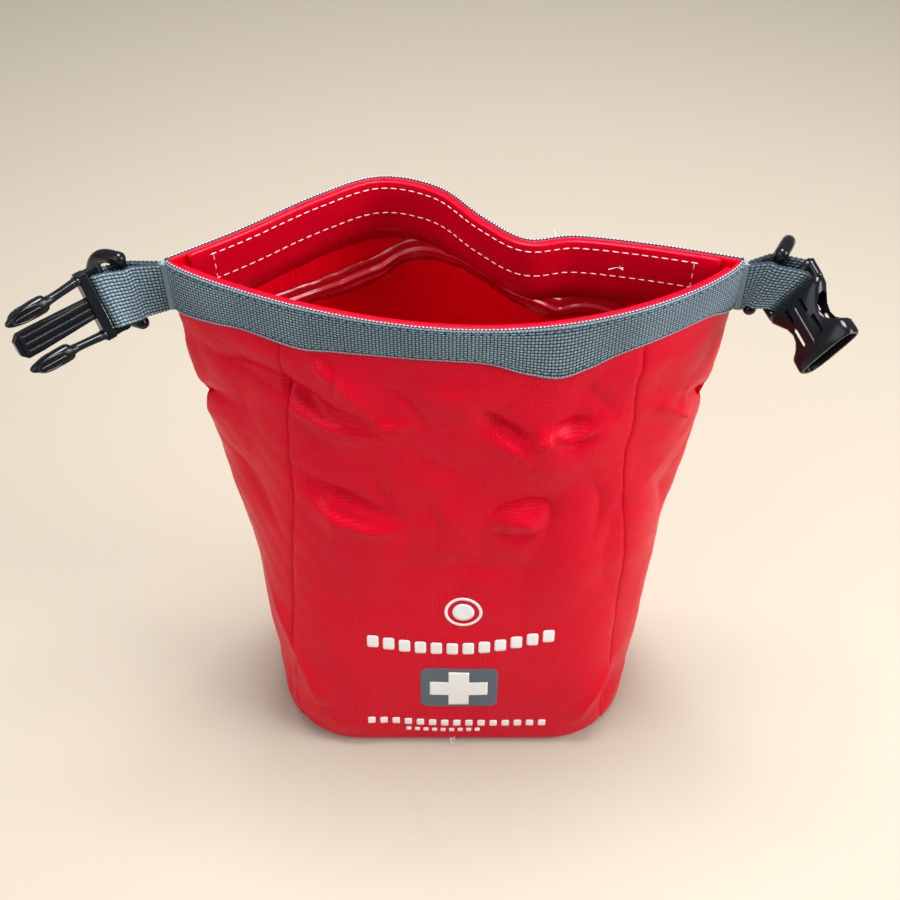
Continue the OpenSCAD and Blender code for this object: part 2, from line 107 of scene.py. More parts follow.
class BagSizes(PropertyGroup):
    """The bag's own sizes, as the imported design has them."""
    base_w: length("Base width", 0.154, "Width of the oval base, left to right")
    base_d: length("Base depth", 0.098, "Depth of the oval base, front to back")
    base_r: length("Base corner", 0.036, "Corner radius of the base")
    bag_h: length("Height", 0.232, "Height of the unrolled mouth")
    fabric_t: length("Fabric", 0.0008, "Thickness of the coated fabric")
    base_bend: length("Base bend", 0.005, "Radius of the bend where the walls meet the base")
    panel_w: length("Panel width", 0.130, "Cut width of the front and back panels")
    front_open: length("Front opening", 0.035, "How far the front lip stands forward of the side folds")
    back_open: length("Back opening", 0.042, "How far the back lip stands behind the side folds")
    back_rise: length("Back rise", 0.004, "How far the back lip stands above the front lip")
    lip_slack: FloatProperty(name="Lip slack", default=1.14,
                             description="Fabric round one side over the distance between folds")
    web_w: length("Webbing width", 0.020, "Width of the webbing")
    web_t: length("Webbing thickness", 0.0012, "Thickness of the webbing")


class ClothLook(PropertyGroup):
    """Colours and weave of the cloth, webbing and thread."""
    red: colour("Fabric", (0.77, 0.0010, 0.022), "Colour of the coated fabric")
    deep_red: colour("Fabric shade", (0.44, 0.0006, 0.014), "Colour of the fabric's duller parts")
    lining: colour("Lining", (0.88, 0.0012, 0.012), "Colour of the glossy inner face")
    hem: colour("Hem", (0.56, 0.0010, 0.014), "Colour of the hem's folded facing")
    web_light: colour("Webbing yarn", (0.29, 0.42, 0.50), "Colour on top of the webbing's yarns")
    # the webbing-gap colour is painted shade between the yarns; the webbing's random wear also darkens
    # towards it
    web_gap_shade_and_wear: colour("Webbing gaps", (0.008, 0.018, 0.028), "Colour between the webbing's yarns")
    white: colour("White", (0.88, 0.88, 0.87), "Colour of the print and of the hem thread")
    badge: colour("Badge", (0.075, 0.115, 0.155), "Colour of the printed badge's field")
    weave_pitch: length("Weave pitch", 0.00125, "Distance between the webbing's yarns")
    ripstop_pitch: length("Ripstop pitch", 0.00105, "Distance between the fabric's thicker threads")
    stitch_pitch: length("Stitch pitch", 0.0033, "Distance between the hem's stitches")
    cell: length("Cloth cell", 0.0011, "Mesh spacing on the bag's cloth")


class StageLook(PropertyGroup):
    """Floor and lights."""
    floor: colour("Floor", (0.45, 0.395, 0.32), "Colour of the plain floor")
    key_power: power("Key light", 5.8, "Power of the soft key light on the right")
    fill_power: power("Fill light", 4.2, "Power of the soft fill light on the left")
    top_power: power("Top light", 16.0, "Power of the soft light overhead")
    room: FloatProperty(name="Room light", default=0.20, description="Strength of the even light all round")
    lens: FloatProperty(name="Lens", default=50.0, description="Focal length of the camera", unit="CAMERA")


def settings():
    """The three groups of settings on the scene."""
    scene = bpy.context.scene
    return scene.bag_sizes, scene.bag_cloth, scene.bag_stage


# ---------- the fabric tube, in millimetres ----------

def smooth(t):
    t = np.clip(t, 0, 1)
    return t * t * (3 - 2 * t)


def shares(x, y):
    """Distance along a line of points, as a share of its whole length."""
    d = np.r_[0, np.cumsum(np.hypot(np.diff(x), np.diff(y)))]
    return d / d[-1]


# Back lip: shares of the half width and of the opening, from the left fold to the right one
BACK_KNOTS = np.array([[-1, 0], [-0.76, 0.33], [-0.51, 0.74], [-0.28, 1], [-0.06, 0.84], [0.1, 0.42],
                       [0.25, 0.14], [0.43, 0.2], [0.72, 0.12], [1, 0]])

# How strongly the creases below stand out
CREASE_DEPTH = 1.85
# Creases pressed into the coated cloth: (points as u and z along the cloth, width, height)
CREASES = [
    # upper left pocket of folds
    ([(14, 198), (30, 198), (44, 196), (50, 193), (58, 190), (68, 188), (82, 186)], 3.2, -2.4),
    ([(46, 188), (58, 184), (70, 182), (84, 180)], 4.5, 1.9),
    ([(56, 211), (64, 206), (71, 200), (82, 187)], 6.0, 2.2),
    ([(64, 213), (67, 206), (66, 199)], 2.6, -1.4),
    ([(80, 188), (86, 186), (93, 189)], 2.4, 1.5),
    ([(50, 157), (58, 151), (72, 146), (88, 141)], 3.6, -2.0),
    ([(56, 146), (64, 140), (76, 136), (90, 135)], 5.0, 1.7),
    ([(60, 148), (63, 136), (61, 118)], 4.0, 1.1),
    ([(78, 164), (84, 152), (88, 142)], 3.0, -0.8),
    # upper right knot and the smooth bulge below it
    ([(118, 196), (126, 189), (133, 184), (138, 181)], 2.8, -2.4),
    ([(121, 189), (129, 181), (135, 176)], 4.0, 1.3),
    ([(138, 180), (142, 182), (145, 184)], 2.6, 1.9),
    ([(144, 187), (152, 186), (161, 188)], 3.0, -1.6),
    ([(145, 183), (152, 181), (161, 184)], 2.2, 1.3),
    ([(122, 144), (128, 148), (138, 150), (146, 148), (145, 136)], 2.4, -1.6),
    ([(127, 142), (137, 143), (142, 136)], 4.0, 1.4),
    # thin sharp valleys beside the larger folds
    ([(48, 196), (58, 188), (68, 184), (82, 182)], 1.7, -1.4),
    ([(119, 192), (128, 183), (137, 178)], 1.6, -1.3),
    ([(146, 181), (154, 178), (163, 181)], 1.5, -1.2),
    ([(53, 150), (64, 142), (80, 138)], 1.7, -1.2),
    ([(124, 137), (134, 133), (144, 137)], 1.5, -1.1),
    ([(86, 205), (96, 196), (100, 184)], 2.2, -0.9),
    ([(96, 150), (104, 140), (102, 126)], 2.4, -0.8),
    ([(160, 160), (166, 146), (163, 128)], 2.4, -0.8),
    # gussets: pinched notches at the side folds and slack diagonals
    ([(-14, 178), (0, 172), (12, 174), (26, 178)], 3.2, -2.2),
    ([(-12, 164), (0, 162), (14, 166), (30, 168)], 6.0, 0.5),
    ([(10, 150), (24, 138), (36, 120)], 7.0, -1.5),
    ([(200, 182), (212, 177), (221, 172), (234, 178)], 3.2, -2.2),
    ([(186, 186), (198, 176), (207, 168)], 4.0, 1.6),
    ([(190, 150), (202, 134), (210, 116)], 8.0, -1.6),
    # facets above the base
    ([(26, 80), (38, 64), (49, 40), (54, 22)], 5.0, 1.7),
    ([(33, 44), (30, 26), (34, 10)], 6.0, -1.5),
    ([(181, 48), (168, 27), (163, 10)], 4.0, 1.7),
    ([(190, 34), (184, 18), (180, 8)], 6.0, -1.4),
    # long soft slacks across the front
    ([(92, 176), (110, 166), (122, 158)], 8.0, -1.0),
    ([(84, 110), (112, 118), (150, 112)], 11.0, -0.9),
    ([(150, 206), (162, 196), (170, 184)], 6.0, -1.0),
    # back panel and the back halves of the gussets
    ([(236, 196), (252, 190), (268, 191)], 4.0, -2.0),
    ([(240, 188), (256, 182), (274, 184)], 5.5, 1.6),
    ([(280, 206), (292, 194), (300, 180)], 5.0, -1.5),
    ([(300, 168), (318, 160), (340, 164)], 6.0, -1.6),
    ([(306, 158), (322, 150), (342, 154)], 6.0, 1.4),
    ([(352, 198), (366, 188), (384, 186)], 4.0, -2.0),
    ([(356, 190), (370, 179), (386, 178)], 5.0, 1.7),
    ([(398, 170), (412, 160), (424, 158)], 6.0, -1.6),
    ([(262, 60), (256, 40), (252, 14)], 5.0, 1.5),
    ([(402, 62), (408, 40), (412, 14)], 5.0, 1.5),
    ([(300, 110), (336, 98), (370, 106)], 12.0, -1.4),
]
# Soft swellings and hollows: (u, z, half width, half height, height)
SWELLINGS = [
    (150, 172, 16, 11, 2.4), (137, 140, 9, 7, 1.2), (66, 172, 14, 9, -1.8), (70, 120, 16, 14, 0.9),
    (110, 200, 16, 8, 1.4), (34, 210, 14, 7, 1.2), (190, 206, 14, 7, 1.3), (160, 120, 20, 24, 1.0),
    (24, 110, 14, 20, -1.0), (200, 90, 16, 22, 1.0), (188, 22, 12, 14, -1.2), (112, 64, 34, 26, 0.8),
    (320, 190, 22, 10, 1.6), (330, 130, 30, 22, 1.2), (250, 120, 18, 26, -1.2), (406, 120, 18, 26, 1.2),
]
# The side seams wander a little, as sewn and welded seams do: (z, u) from the base up
LEFT_SEAM = [(0, 42), (14, 39.5), (31, 38.5), (50, 43), (66, 41), (113, 43.5), (143, 46), (160, 45.6),
             (176, 46.2), (193, 47.6), (200, 45.6), (217, 45.8), (232, 45.5)]
RIGHT_SEAM = [(0, 179), (60, 179.5), (86, 179.4), (114, 178.8), (140, 176.5), (166, 174.8), (178, 176.8),
              (198, 176.2), (206, 177.6), (218, 177.4), (232, 175.6)]


def along(points):
    """Catmull-Rom curve through a few given points."""
    p = np.array(points, float)
    p = np.vstack([2 * p[0] - p[1], p, 2 * p[-1] - p[-2]])
    out = []
    for i in range(len(p) - 3):
        a, b, c, d = p[i:i + 4]
        for t in np.arange(6) / 6:
            out.append(0.5 * (2 * b + (c - a) * t + (2 * a - 5 * b + 4 * c - d) * t ** 2
                              + (3 * b - 3 * c + d - a) * t ** 3))
    out.append(p[-2])
    return np.array(out)


def seam_at(points, z):
    line = along(points)
    return np.interp(z, line[:, 0], line[:, 1])


def wave_noise(u, z, size, seed, girth):
    """Smooth repeatable noise from a few crossed waves that close round the tube."""
    rng = np.random.default_rng(seed)
    total = np.zeros(np.broadcast(u, z).shape)
    for _ in range(7):
        turns = max(1, round(girth / size * rng.uniform(0.5, 1.3)))
        kz = 2 * math.pi / size * rng.uniform(-1.2, 1.2)
        phase = 2 * math.pi * turns * u / girth + kz * z
        total += rng.uniform(0.5, 1) * np.sin(phase + rng.uniform(0, 6.28))
    return total / 7


class Tube:
    """The bag's cloth: u runs round it from the left fold, front half first, and z is the height."""

    def __init__(self, sizes):
        self.w, self.d, self.r = sizes.base_w / MM, sizes.base_d / MM, sizes.base_r / MM
        self.h, self.t, self.bend = sizes.bag_h / MM, sizes.fabric_t / MM, sizes.base_bend / MM
        self.rise = sizes.back_rise / MM
        self.girth = 2 * (self.w + self.d) - (8 - 2 * math.pi) * self.r
        self.half = self.girth / 2
        self.fold_x = self.half / sizes.lip_slack / 2
        self.gusset = self.half - sizes.panel_w / MM
        self.web_w = sizes.web_w / MM
        self.web_top = self.h - 1.2
        s = np.sin(np.linspace(-math.pi / 2, math.pi / 2, 61))
        bow = np.maximum(0, np.cos(s * math.pi / 2)) ** 0.75 * (1 + 0.18 * s)
        self.front = self.lip(self.fold_x * s, -sizes.front_open / MM * bow)
        b = along(BACK_KNOTS)
        self.back = self.lip(self.fold_x * b[:, 0], sizes.back_open / MM * b[:, 1])

    @staticmethod
    def lip(x, y):
        return shares(x, y), x, y

    def base_half(self, u):
        flip = u > self.half / 2
        v = np.where(flip, self.half - u, u)
        side, corner = self.d / 2 - self.r, self.r * math.pi / 2
        a = math.pi + np.clip((v - side) / self.r, 0, math.pi / 2)
        straight = np.maximum(0, v - side - corner)
        x = -self.w / 2 + self.r + self.r * np.cos(a) + straight
        y = np.where(v < side, -v, -self.d / 2 + self.r + self.r * np.sin(a))
        return np.where(flip, -x, x), y

    def ring(self, u, z):
        u = np.mod(u, self.girth)
        back = u > self.half
        h = np.where(back, self.girth - u, u)
        bx, by = self.base_half(h)
        q = h / self.half
        fx, fy = np.interp(q, self.front[0], self.front[1]), np.interp(q, self.front[0], self.front[2])
        kx, ky = np.interp(q, self.back[0], self.back[1]), np.interp(q, self.back[0], self.back[2])
        t = smooth(np.minimum(1, z / self.h))
        x = bx * (1 - t) + np.where(back, kx, fx) * t
        return x, np.where(back, -by, by) * (1 - t) + np.where(back, ky, fy) * t

    def relief(self, u, z):
        """How far creases and slack push the cloth out of its drawn shape."""
        u, z = np.broadcast_arrays(np.asarray(u, float), np.asarray(z, float))
        total = np.zeros(u.shape)
        for points, width, height in CREASES:
            line = along(points)
            reach = 3 * width
            middle, last = line[:, 0].mean(), len(line) - 1
            uu = u + self.girth * np.round((middle - u) / self.girth)
            (u_low, z_low), (u_high, z_high) = line.min(0) - reach, line.max(0) + reach
            pick = (uu > u_low) & (uu < u_high) & (z > z_low) & (z < z_high)
            if not pick.any():
                continue
            pu, pz = uu[pick], z[pick]
            near, where = np.full(pu.shape, 1e9), np.zeros(pu.shape)
            for k in range(last):
                a, b = line[k], line[k + 1]
                ab = b - a
                t = np.clip(((pu - a[0]) * ab[0] + (pz - a[1]) * ab[1]) / max(1e-9, ab @ ab), 0, 1)
                d = np.hypot(pu - a[0] - t * ab[0], pz - a[1] - t * ab[1])
                closer = d < near
                near, where = np.where(closer, d, near), np.where(closer, (k + t) / last, where)
            taper = np.clip(np.sin(math.pi * np.clip(where, 0.04, 0.96)), 0, 1) ** 0.7
            total[pick] += CREASE_DEPTH * height * taper * np.exp(-(near / width) ** 1.15)
        for cu, cz, ru, rz, height in SWELLINGS:
            du = np.mod(u - cu + self.half, self.girth) - self.half
            total += height * np.exp(-(du / ru) ** 2 - ((z - cz) / rz) ** 2)
        # slack that breaks along sharp valleys, then finer ripples
        # the printed middle of the front is pulled smooth
        calm = 1 - 0.8 * np.exp(-(((u - 112) / 46) ** 4) - ((z - 35) / 62) ** 4)
        slack = 3.4 * np.abs(wave_noise(u, z, 62, 11, self.girth))
        slack += 0.9 * np.abs(wave_noise(u, z, 30, 12, self.girth))
        total += calm * (slack + 0.07 * wave_noise(u, z, 13, 5, self.girth))
        return total * smooth((self.h - 14 - z) / 12) * smooth((z - 3) / 14)

    def skin(self, u, z, off=0.0, bumps=True):
        """Points off millimetres outside the cloth, in millimetres."""
        u, z, off = np.broadcast_arrays(np.asarray(u, float), np.asarray(z, float), np.asarray(off, float))
        level = np.clip(z, 0, self.h)
        x, y = self.ring(u, level)
        x1, y1 = self.ring(u + 1.2, level)
        x0, y0 = self.ring(u - 1.2, level)
        tx, ty = x1 - x0, y1 - y0
        n = np.hypot(tx, ty)
        low = np.clip(self.bend - z, 0, self.bend)
        inset = self.bend - np.sqrt(self.bend ** 2 - low ** 2)
        out = off - inset + (self.relief(u, z) if bumps else 0)
        v = np.mod(u, self.girth)
        lift = np.where(v > self.half, self.rise * np.sin(math.pi * (v - self.half) / self.half), 0)
        return np.stack([x + ty / n * out, y - tx / n * out, z + lift * smooth(level / self.h)], -1)


# ---------- meshes ----------

def finish_piece(name, mesh, materials, body=None, replaces=(), shade=True):
    """Links a mesh as a piece, gives it its materials, says what it rides on and hides the CAD nodes it
    stands for.
    """
    piece = bpy.data.objects.new(name, mesh)
    bpy.context.scene.collection.objects.link(piece)
    for finish in materials:
        mesh.materials.append(finish)
    if shade:
        mesh.shade_smooth()
    if body:
        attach(piece, body)
    if replaces:
        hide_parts(*replaces)
    return piece


def add_uv(mesh, uv):
    layer = mesh.uv_layers.new(name="cloth")
    corners = np.zeros(len(mesh.loops), np.int32)
    mesh.loops.foreach_get("vertex_index", corners)
    layer.data.foreach_set("uv", np.asarray(uv, np.float32)[corners].ravel())


def add_attribute(mesh, name, values, kind="FLOAT"):
    data = mesh.attributes.new(name, kind, "POINT").data
    field = "vector" if kind == "FLOAT_VECTOR" else "value"
    data.foreach_set(field, np.asarray(values, np.float32).ravel())


def sheet_mesh(name, outer, inner, uv=None, weave=None, close_ends=True):
    """A closed sheet between two grids of points in millimetres; rows go up, columns go round."""
    rows, cols = outer.shape[:2]
    n = rows * cols
    grid = np.arange(n).reshape(rows, cols)
    a, b, c, d = grid[:-1, :-1], grid[:-1, 1:], grid[1:, 1:], grid[1:, :-1]
    front = np.stack([a, b, c, d], -1).reshape(-1, 4)
    back = front[:, ::-1] + n
    low = np.stack([grid[0, 1:], grid[0, :-1], grid[0, :-1] + n, grid[0, 1:] + n], -1)
    top = np.stack([grid[-1, :-1], grid[-1, 1:], grid[-1, 1:] + n, grid[-1, :-1] + n], -1)
    faces = [front, back, low, top]
    if close_ends:
        faces.append(np.stack([grid[:-1, 0], grid[1:, 0], grid[1:, 0] + n, grid[:-1, 0] + n], -1))
        faces.append(np.stack([grid[1:, -1], grid[:-1, -1], grid[:-1, -1] + n, grid[1:, -1] + n], -1))
    faces = np.vstack(faces)
    mesh = bpy.data.meshes.new(name)
    points = np.vstack([outer.reshape(-1, 3), inner.reshape(-1, 3)]) * MM
    mesh.from_pydata(points.tolist(), [], faces.tolist())
    if uv is not None:
        add_uv(mesh, np.vstack([uv.reshape(-1, 2)] * 2) * MM)
    if weave is not None:
        # the inner sheet gets its weave values scaled by 0.8, which paints the webbing's inner face darker:
        # painted shade on that side
        add_attribute(mesh, "weave", np.r_[weave.ravel(), weave.ravel() * 0.8])
    index = np.zeros(len(faces), np.int32)
    index[len(front):2 * len(front)] = 1
    mesh.polygons.foreach_set("material_index", index)
    mesh.update()
    return mesh


def spaced(a, b, step):
    return np.linspace(a, b, max(2, round(abs(b - a) / step) + 1))


def sweep_mesh(name, tube, us, profile, bumps=True):
    """A closed band along the cloth whose cross-section is a closed outline of (off, z) points."""
    outline = np.array(profile, float)
    count = len(outline)
    heights = outline[None, :, 1] + np.zeros((len(us), 1))
    points = tube.skin(us[:, None], heights, outline[None, :, 0], bumps)
    faces = []
    for k in range(len(us) - 1):
        for j in range(count):
            a, b = k * count + j, k * count + (j + 1) % count
            faces.append((a, b, b + count, a + count))
    faces += [tuple(range(count))[::-1], tuple(range((len(us) - 1) * count, len(us) * count))]
    mesh = bpy.data.meshes.new(name)
    mesh.from_pydata((points.reshape(-1, 3) * MM).tolist(), [], faces)
    outwards(mesh)
    uv = np.stack([us[:, None] + 0 * outline[None, :, 1], outline[None, :, 1] + 0 * us[:, None]], -1)
    add_uv(mesh, uv.reshape(-1, 2) * MM)
    return mesh


def outwards(mesh, merge=0.0):
    """Turns a closed mesh's faces outwards."""
    work = bmesh.new()
    work.from_mesh(mesh)
    if merge:
        bmesh.ops.remove_doubles(work, verts=work.verts, dist=merge)
    bmesh.ops.recalc_face_normals(work, faces=work.faces)
    work.to_mesh(mesh)
    work.free()
    mesh.update()


# ---------- materials ----------

def shader(name, colour_value, roughness=0.5, **sockets):
    """A new material, its node tree and its main shader node."""
    made = bpy.data.materials.new(name)
    made.use_nodes = True
    tree = made.node_tree
    bsdf = tree.nodes["Principled BSDF"]
    bsdf.inputs["Base Color"].default_value = (*colour_value, 1)
    bsdf.inputs["Roughness"].default_value = roughness
    for key, value in sockets.items():
        bsdf.inputs[key.replace("_", " ")].default_value = value
    return made, tree, bsdf


def add(tree, kind, inputs=None, **props):
    """A node with its properties set, and its inputs given as values or as sockets to link from."""
    made = tree.nodes.new(kind)
    for key, value in props.items():
        setattr(made, key, value)
    for key, value in (inputs or {}).items():
        if isinstance(value, bpy.types.NodeSocket):
            tree.links.new(value, made.inputs[key])
        else:
            made.inputs[key].default_value = value
    return made


def math_node(tree, operation, *values):
    return add(tree, "ShaderNodeMath", dict(enumerate(values)), operation=operation).outputs[0]


def noise(tree, vector, scale, detail=3.0, rough=0.5):
    values = {"Vector": vector, "Scale": scale, "Detail": detail, "Roughness": rough}
    return add(tree, "ShaderNodeTexNoise", values).outputs["Fac"]


def ramp(tree, value, low, high, low_out=0.0, high_out=1.0):
    values = {"Value": value, "From Min": low, "From Max": high, "To Min": low_out, "To Max": high_out}
    return add(tree, "ShaderNodeMapRange", values, interpolation_type="SMOOTHSTEP").outputs["Result"]


def mix_colour(tree, factor, a, b):
    made = add(tree, "ShaderNodeMix", {0: factor}, data_type="RGBA")
    for socket, value in ((made.inputs[6], a), (made.inputs[7], b)):
        if isinstance(value, bpy.types.NodeSocket):
            tree.links.new(value, socket)
        else:
            socket.default_value = (*value, 1)
    return made.outputs[2]


def bump(tree, bsdf, height, distance, strength=1.0, under=None):
    values = {"Height": height, "Distance": distance, "Strength": strength}
    if under is not None:
        values["Normal"] = under
    made = add(tree, "ShaderNodeBump", values).outputs["Normal"]
    tree.links.new(made, bsdf.inputs["Normal"])
    return made


def thread_lines(tree, coordinate, pitch, width):
    """1 on thin lines that repeat every pitch along a coordinate, else 0."""
    turns = math_node(tree, "DIVIDE", coordinate, pitch)
    inside = math_node(tree, "FRACT", turns)
    off_line = math_node(tree, "ABSOLUTE", math_node(tree, "SUBTRACT", inside, 0.5))
    return ramp(tree, off_line, 0.0, width, 1.0, 0.0)


def fabric_material(name, base, shade, cloth, gloss, grid=1.0):
    """Coated ripstop: a fine raised thread grid under a satin coating, with slow colour drift."""
    made, tree, bsdf = shader(name, base, gloss, Specular_IOR_Level=0.08, Coat_Weight=0.06,
                              Coat_Roughness=0.2)
    spot = add(tree, "ShaderNodeTexCoord").outputs["Object"]
    uv = add(tree, "ShaderNodeUVMap", uv_map="cloth").outputs["UV"]
    parts = add(tree, "ShaderNodeSeparateXYZ", {"Vector": uv})
    lines_u = thread_lines(tree, parts.outputs["X"], cloth.ripstop_pitch, 0.2)
    lines_v = thread_lines(tree, parts.outputs["Y"], cloth.ripstop_pitch, 0.2)
    lines = math_node(tree, "MAXIMUM", lines_u, lines_v)
    drift = ramp(tree, noise(tree, spot, 16.0, 4.0), 0.35, 0.7)
    grid_tone = math_node(tree, "MULTIPLY", lines, 0.75 * grid)
    tone = math_node(tree, "MAXIMUM", math_node(tree, "MULTIPLY", drift, 0.22), grid_tone)
    tree.links.new(mix_colour(tree, tone, base, shade), bsdf.inputs["Base Color"])
    rough = ramp(tree, noise(tree, spot, 60.0, 5.0), 0.3, 0.7, gloss - 0.05, gloss + 0.09)
    tree.links.new(rough, bsdf.inputs["Roughness"])
    crinkle = math_node(tree, "ADD", noise(tree, spot, 180.0, 4.0, 0.6),
                        math_node(tree, "MULTIPLY", noise(tree, spot, 900.0, 2.0), 0.25))
    under = bump(tree, bsdf, crinkle, 0.0005, 0.32)
    bump(tree, bsdf, lines, 0.00016 * grid, 0.55, under)
    return made


def webbing_material(cloth):
    """Woven yarns: their own colour on top and painted shade in the gaps between them, with fine fibres."""
    made, tree, bsdf = shader("webbing", cloth.web_light, 0.72, Specular_IOR_Level=0.25, Sheen_Weight=0.25,
                              Sheen_Roughness=0.5)
    spot = add(tree, "ShaderNodeTexCoord").outputs["Object"]
    height = add(tree, "ShaderNodeAttribute", attribute_name="weave").outputs["Fac"]
    fibre = noise(tree, spot, 2600.0, 2.0)
    fuzz = math_node(tree, "MULTIPLY", math_node(tree, "SUBTRACT", fibre, 0.5), 0.45)
    lift = math_node(tree, "ADD", height, fuzz)
    # painted shade: low weave values, the gaps between the yarns, take the near-black gap colour
    body = mix_colour(tree, ramp(tree, lift, 0.30, 1.0), cloth.web_gap_shade_and_wear, cloth.web_light)
    wear = ramp(tree, noise(tree, spot, 40.0, 3.0), 0.3, 0.75, 0.0, 0.3)
    tree.links.new(mix_colour(tree, wear, body, cloth.web_gap_shade_and_wear), bsdf.inputs["Base Color"])
    bump(tree, bsdf, fibre, 0.0002, 0.5)
    return made


def plain_material(name, base, roughness, grain=900.0, depth=0.0001, drift=0.12, **sockets):
    """A solid finish with a little grain in its tone, gloss and surface."""
    made, tree, bsdf = shader(name, base, roughness, **sockets)
    spot = add(tree, "ShaderNodeTexCoord").outputs["Object"]
    fine, broad = noise(tree, spot, grain, 3.0), noise(tree, spot, 45.0, 4.0)
    darker = tuple(0.72 * v for v in base)
    tree.links.new(mix_colour(tree, ramp(tree, broad, 0.3, 0.8, 0.0, drift * 3), base, darker),
                   bsdf.inputs["Base Color"])
    tree.links.new(ramp(tree, broad, 0.3, 0.7, max(0.02, roughness - drift / 2), roughness + drift / 2),
                   bsdf.inputs["Roughness"])
    bump(tree, bsdf, fine, depth, 0.35)
    return made


MATERIALS = {}


def material(name):
    """The bag's materials, each made once."""
    if name not in MATERIALS:
        cloth = settings()[1]
        recipes = {
            "fabric": lambda: fabric_material("coated_fabric", cloth.red, cloth.deep_red, cloth, 0.34),
            "lining": lambda: fabric_material("lining", cloth.lining, cloth.deep_red, cloth, 0.27, 0.35),
            "hem": lambda: fabric_material("hem_fabric", cloth.hem, cloth.deep_red, cloth, 0.27, 0.35),
            "webbing": lambda: webbing_material(cloth),
            "thread": lambda: plain_material("white_thread", cloth.white, 0.6, 3000.0, 0.0002, 0.1),
            "grey_thread": lambda: plain_material("grey_thread", (0.24, 0.34, 0.40), 0.6, 3000.0, 0.0002,
                                                  0.1),
            # the welded bead's pale pink tint is painted sheen on top of its glossy finish
            "weld_and_sheen": lambda: plain_material("weld_bead_and_painted_sheen", (0.62, 0.035, 0.06), 0.16, 500.0, 0.0002, 0.1,
                                           Coat_Weight=0.6, Coat_Roughness=0.1),
            "tape": lambda: plain_material("seam_tape", (0.52, 0.004, 0.014), 0.2, 300.0, 0.0002, 0.1,
                                           Coat_Weight=0.4, Coat_Roughness=0.15),
            "stiffener": lambda: plain_material("stiffener", (0.80, 0.80, 0.78), 0.45, 400.0),
            "print": lambda: plain_material("print_white", (0.90, 0.90, 0.90), 0.5, 1400.0, 0.00008, 0.05),
            "badge": lambda: plain_material("print_badge", cloth.badge, 0.45, 1400.0, 0.00008, 0.08),
            "plastic": lambda: plain_material("buckle_plastic", (0.005, 0.006, 0.008), 0.2, 2200.0, 0.00004,
                                              0.06, Specular_IOR_Level=0.3),
        }
        recipes.update(supply_recipes())
        MATERIALS[name] = recipes[name]()
    return MATERIALS[name]


# ---------- shell, hem, webbing ----------

def panel(tube, name, low_edge, high_edge, node):
    """A wall of the shell between two edges, each a function of height."""
    cloth = settings()[1]
    zs = np.r_[np.linspace(0.4, tube.bend, 7), spaced(tube.bend, tube.h, cloth.cell / MM)[1:]]
    count = len(spaced(low_edge(tube.h), high_edge(tube.h), cloth.cell / MM))
    share = np.linspace(0, 1, count)
    u0, u1 = low_edge(zs)[:, None], high_edge(zs)[:, None]
    us = u0 + (u1 - u0) * share[None, :]
    zz = zs[:, None] + 0 * us
    ends = np.minimum(us - u0, u1 - us)
    # the cloth turns in a little at its welded edges
    off = -0.45 * np.exp(-(ends / 1.3) ** 2) * smooth((tube.h - 16 - zz) / 6)
    outer = tube.skin(us, zz, off)
    inner = tube.skin(us, zz, off - tube.t)
    mesh = sheet_mesh(name, outer, inner, np.stack([us, zz], -1))
    faces = [material("fabric"), material("lining")]
    finish_piece(name, mesh, faces, "bag", [node])


class BAG_OT_shell(Operator):
    """Build the four wall panels and the base of the bag"""
    bl_idname = "bag.shell"
    bl_label = "Shell panels"

    def execute(self, context):
        tube = Tube(settings()[0])

        def left(z):
            return seam_at(LEFT_SEAM, z)

        def right(z):
            return seam_at(RIGHT_SEAM, z)

        def flat(u):
            return lambda z: np.full(np.shape(z), u)
        panel(tube, "front_shell", left, right, "front_panel")
        panel(tube, "right_gusset_shell", right, flat(tube.half + tube.gusset / 2), "right_gusset")
        panel(tube, "back_shell", flat(tube.half + tube.gusset / 2), flat(tube.girth - tube.gusset / 2),
              "back_panel")
        panel(tube, "left_gusset_shell", flat(-tube.gusset / 2), left, "left_gusset")
        self.base(tube)
        return {"FINISHED"}

    @staticmethod
    def base(tube):
        """The base: a flat oval of the same cloth, turned in under the walls."""
        us = np.linspace(0, tube.girth, 241)
        rim = tube.skin(us, 0.8, -0.2, False)
        shares_in = np.linspace(1, 0.02, 26)
        flat = rim[None, :, :2] * shares_in[:, None, None]
        swell = 0.35 * np.sin(math.pi * shares_in) ** 2
        top = np.dstack([flat, np.full(flat.shape[:2], 0.8) + swell[:, None]])
        low = np.dstack([flat, np.full(flat.shape[:2], 0.02) + swell[:, None] * 0.6])
        uv = flat + np.array([90.0, 60.0])
        mesh = sheet_mesh("base_shell", low, top, uv, close_ends=False)
        outwards(mesh, 1e-6)
        finish_piece("base_shell", mesh, [material("fabric"), material("lining")], "bag",
                     ["base_panel"])


def weave(a, b, pitch):
    """Height from 0 to 1 of a plain weave at places a along and b across the webbing."""
    fa = np.mod(a / pitch, 1) - 0.5
    fb = np.mod(b / pitch, 1) - 0.5
    nub = np.sqrt(np.clip(1 - (fa / 0.52) ** 4 - (fb / 0.5) ** 4, 0, 1))
    turn = np.mod(np.floor(a / pitch) + np.floor(b / pitch), 2)
    return nub * (0.82 + 0.18 * turn)


# Lower edge of the front webbing as it buckles outwards, by distance along the cloth
WEB_LOW = [(0, 211), (18, 213), (32, 215.2), (54, 213.9), (68, 216.0), (90, 218), (118, 218), (134, 212.5),
           (146, 209.4), (156, 211.5), (170, 215.2), (201, 217), (214, 213.5), (222, 211)]


def web_height(tube, us, b, start):
    """Height on the cloth of a place b across the webbing."""
    if start:
        return tube.web_top + 1.5 - tube.web_w + b + 0 * us
    line = along(WEB_LOW)
    low = np.interp(us, line[:, 0], line[:, 1])
    return low + (tube.web_top + 1.1 - low) * b / tube.web_w


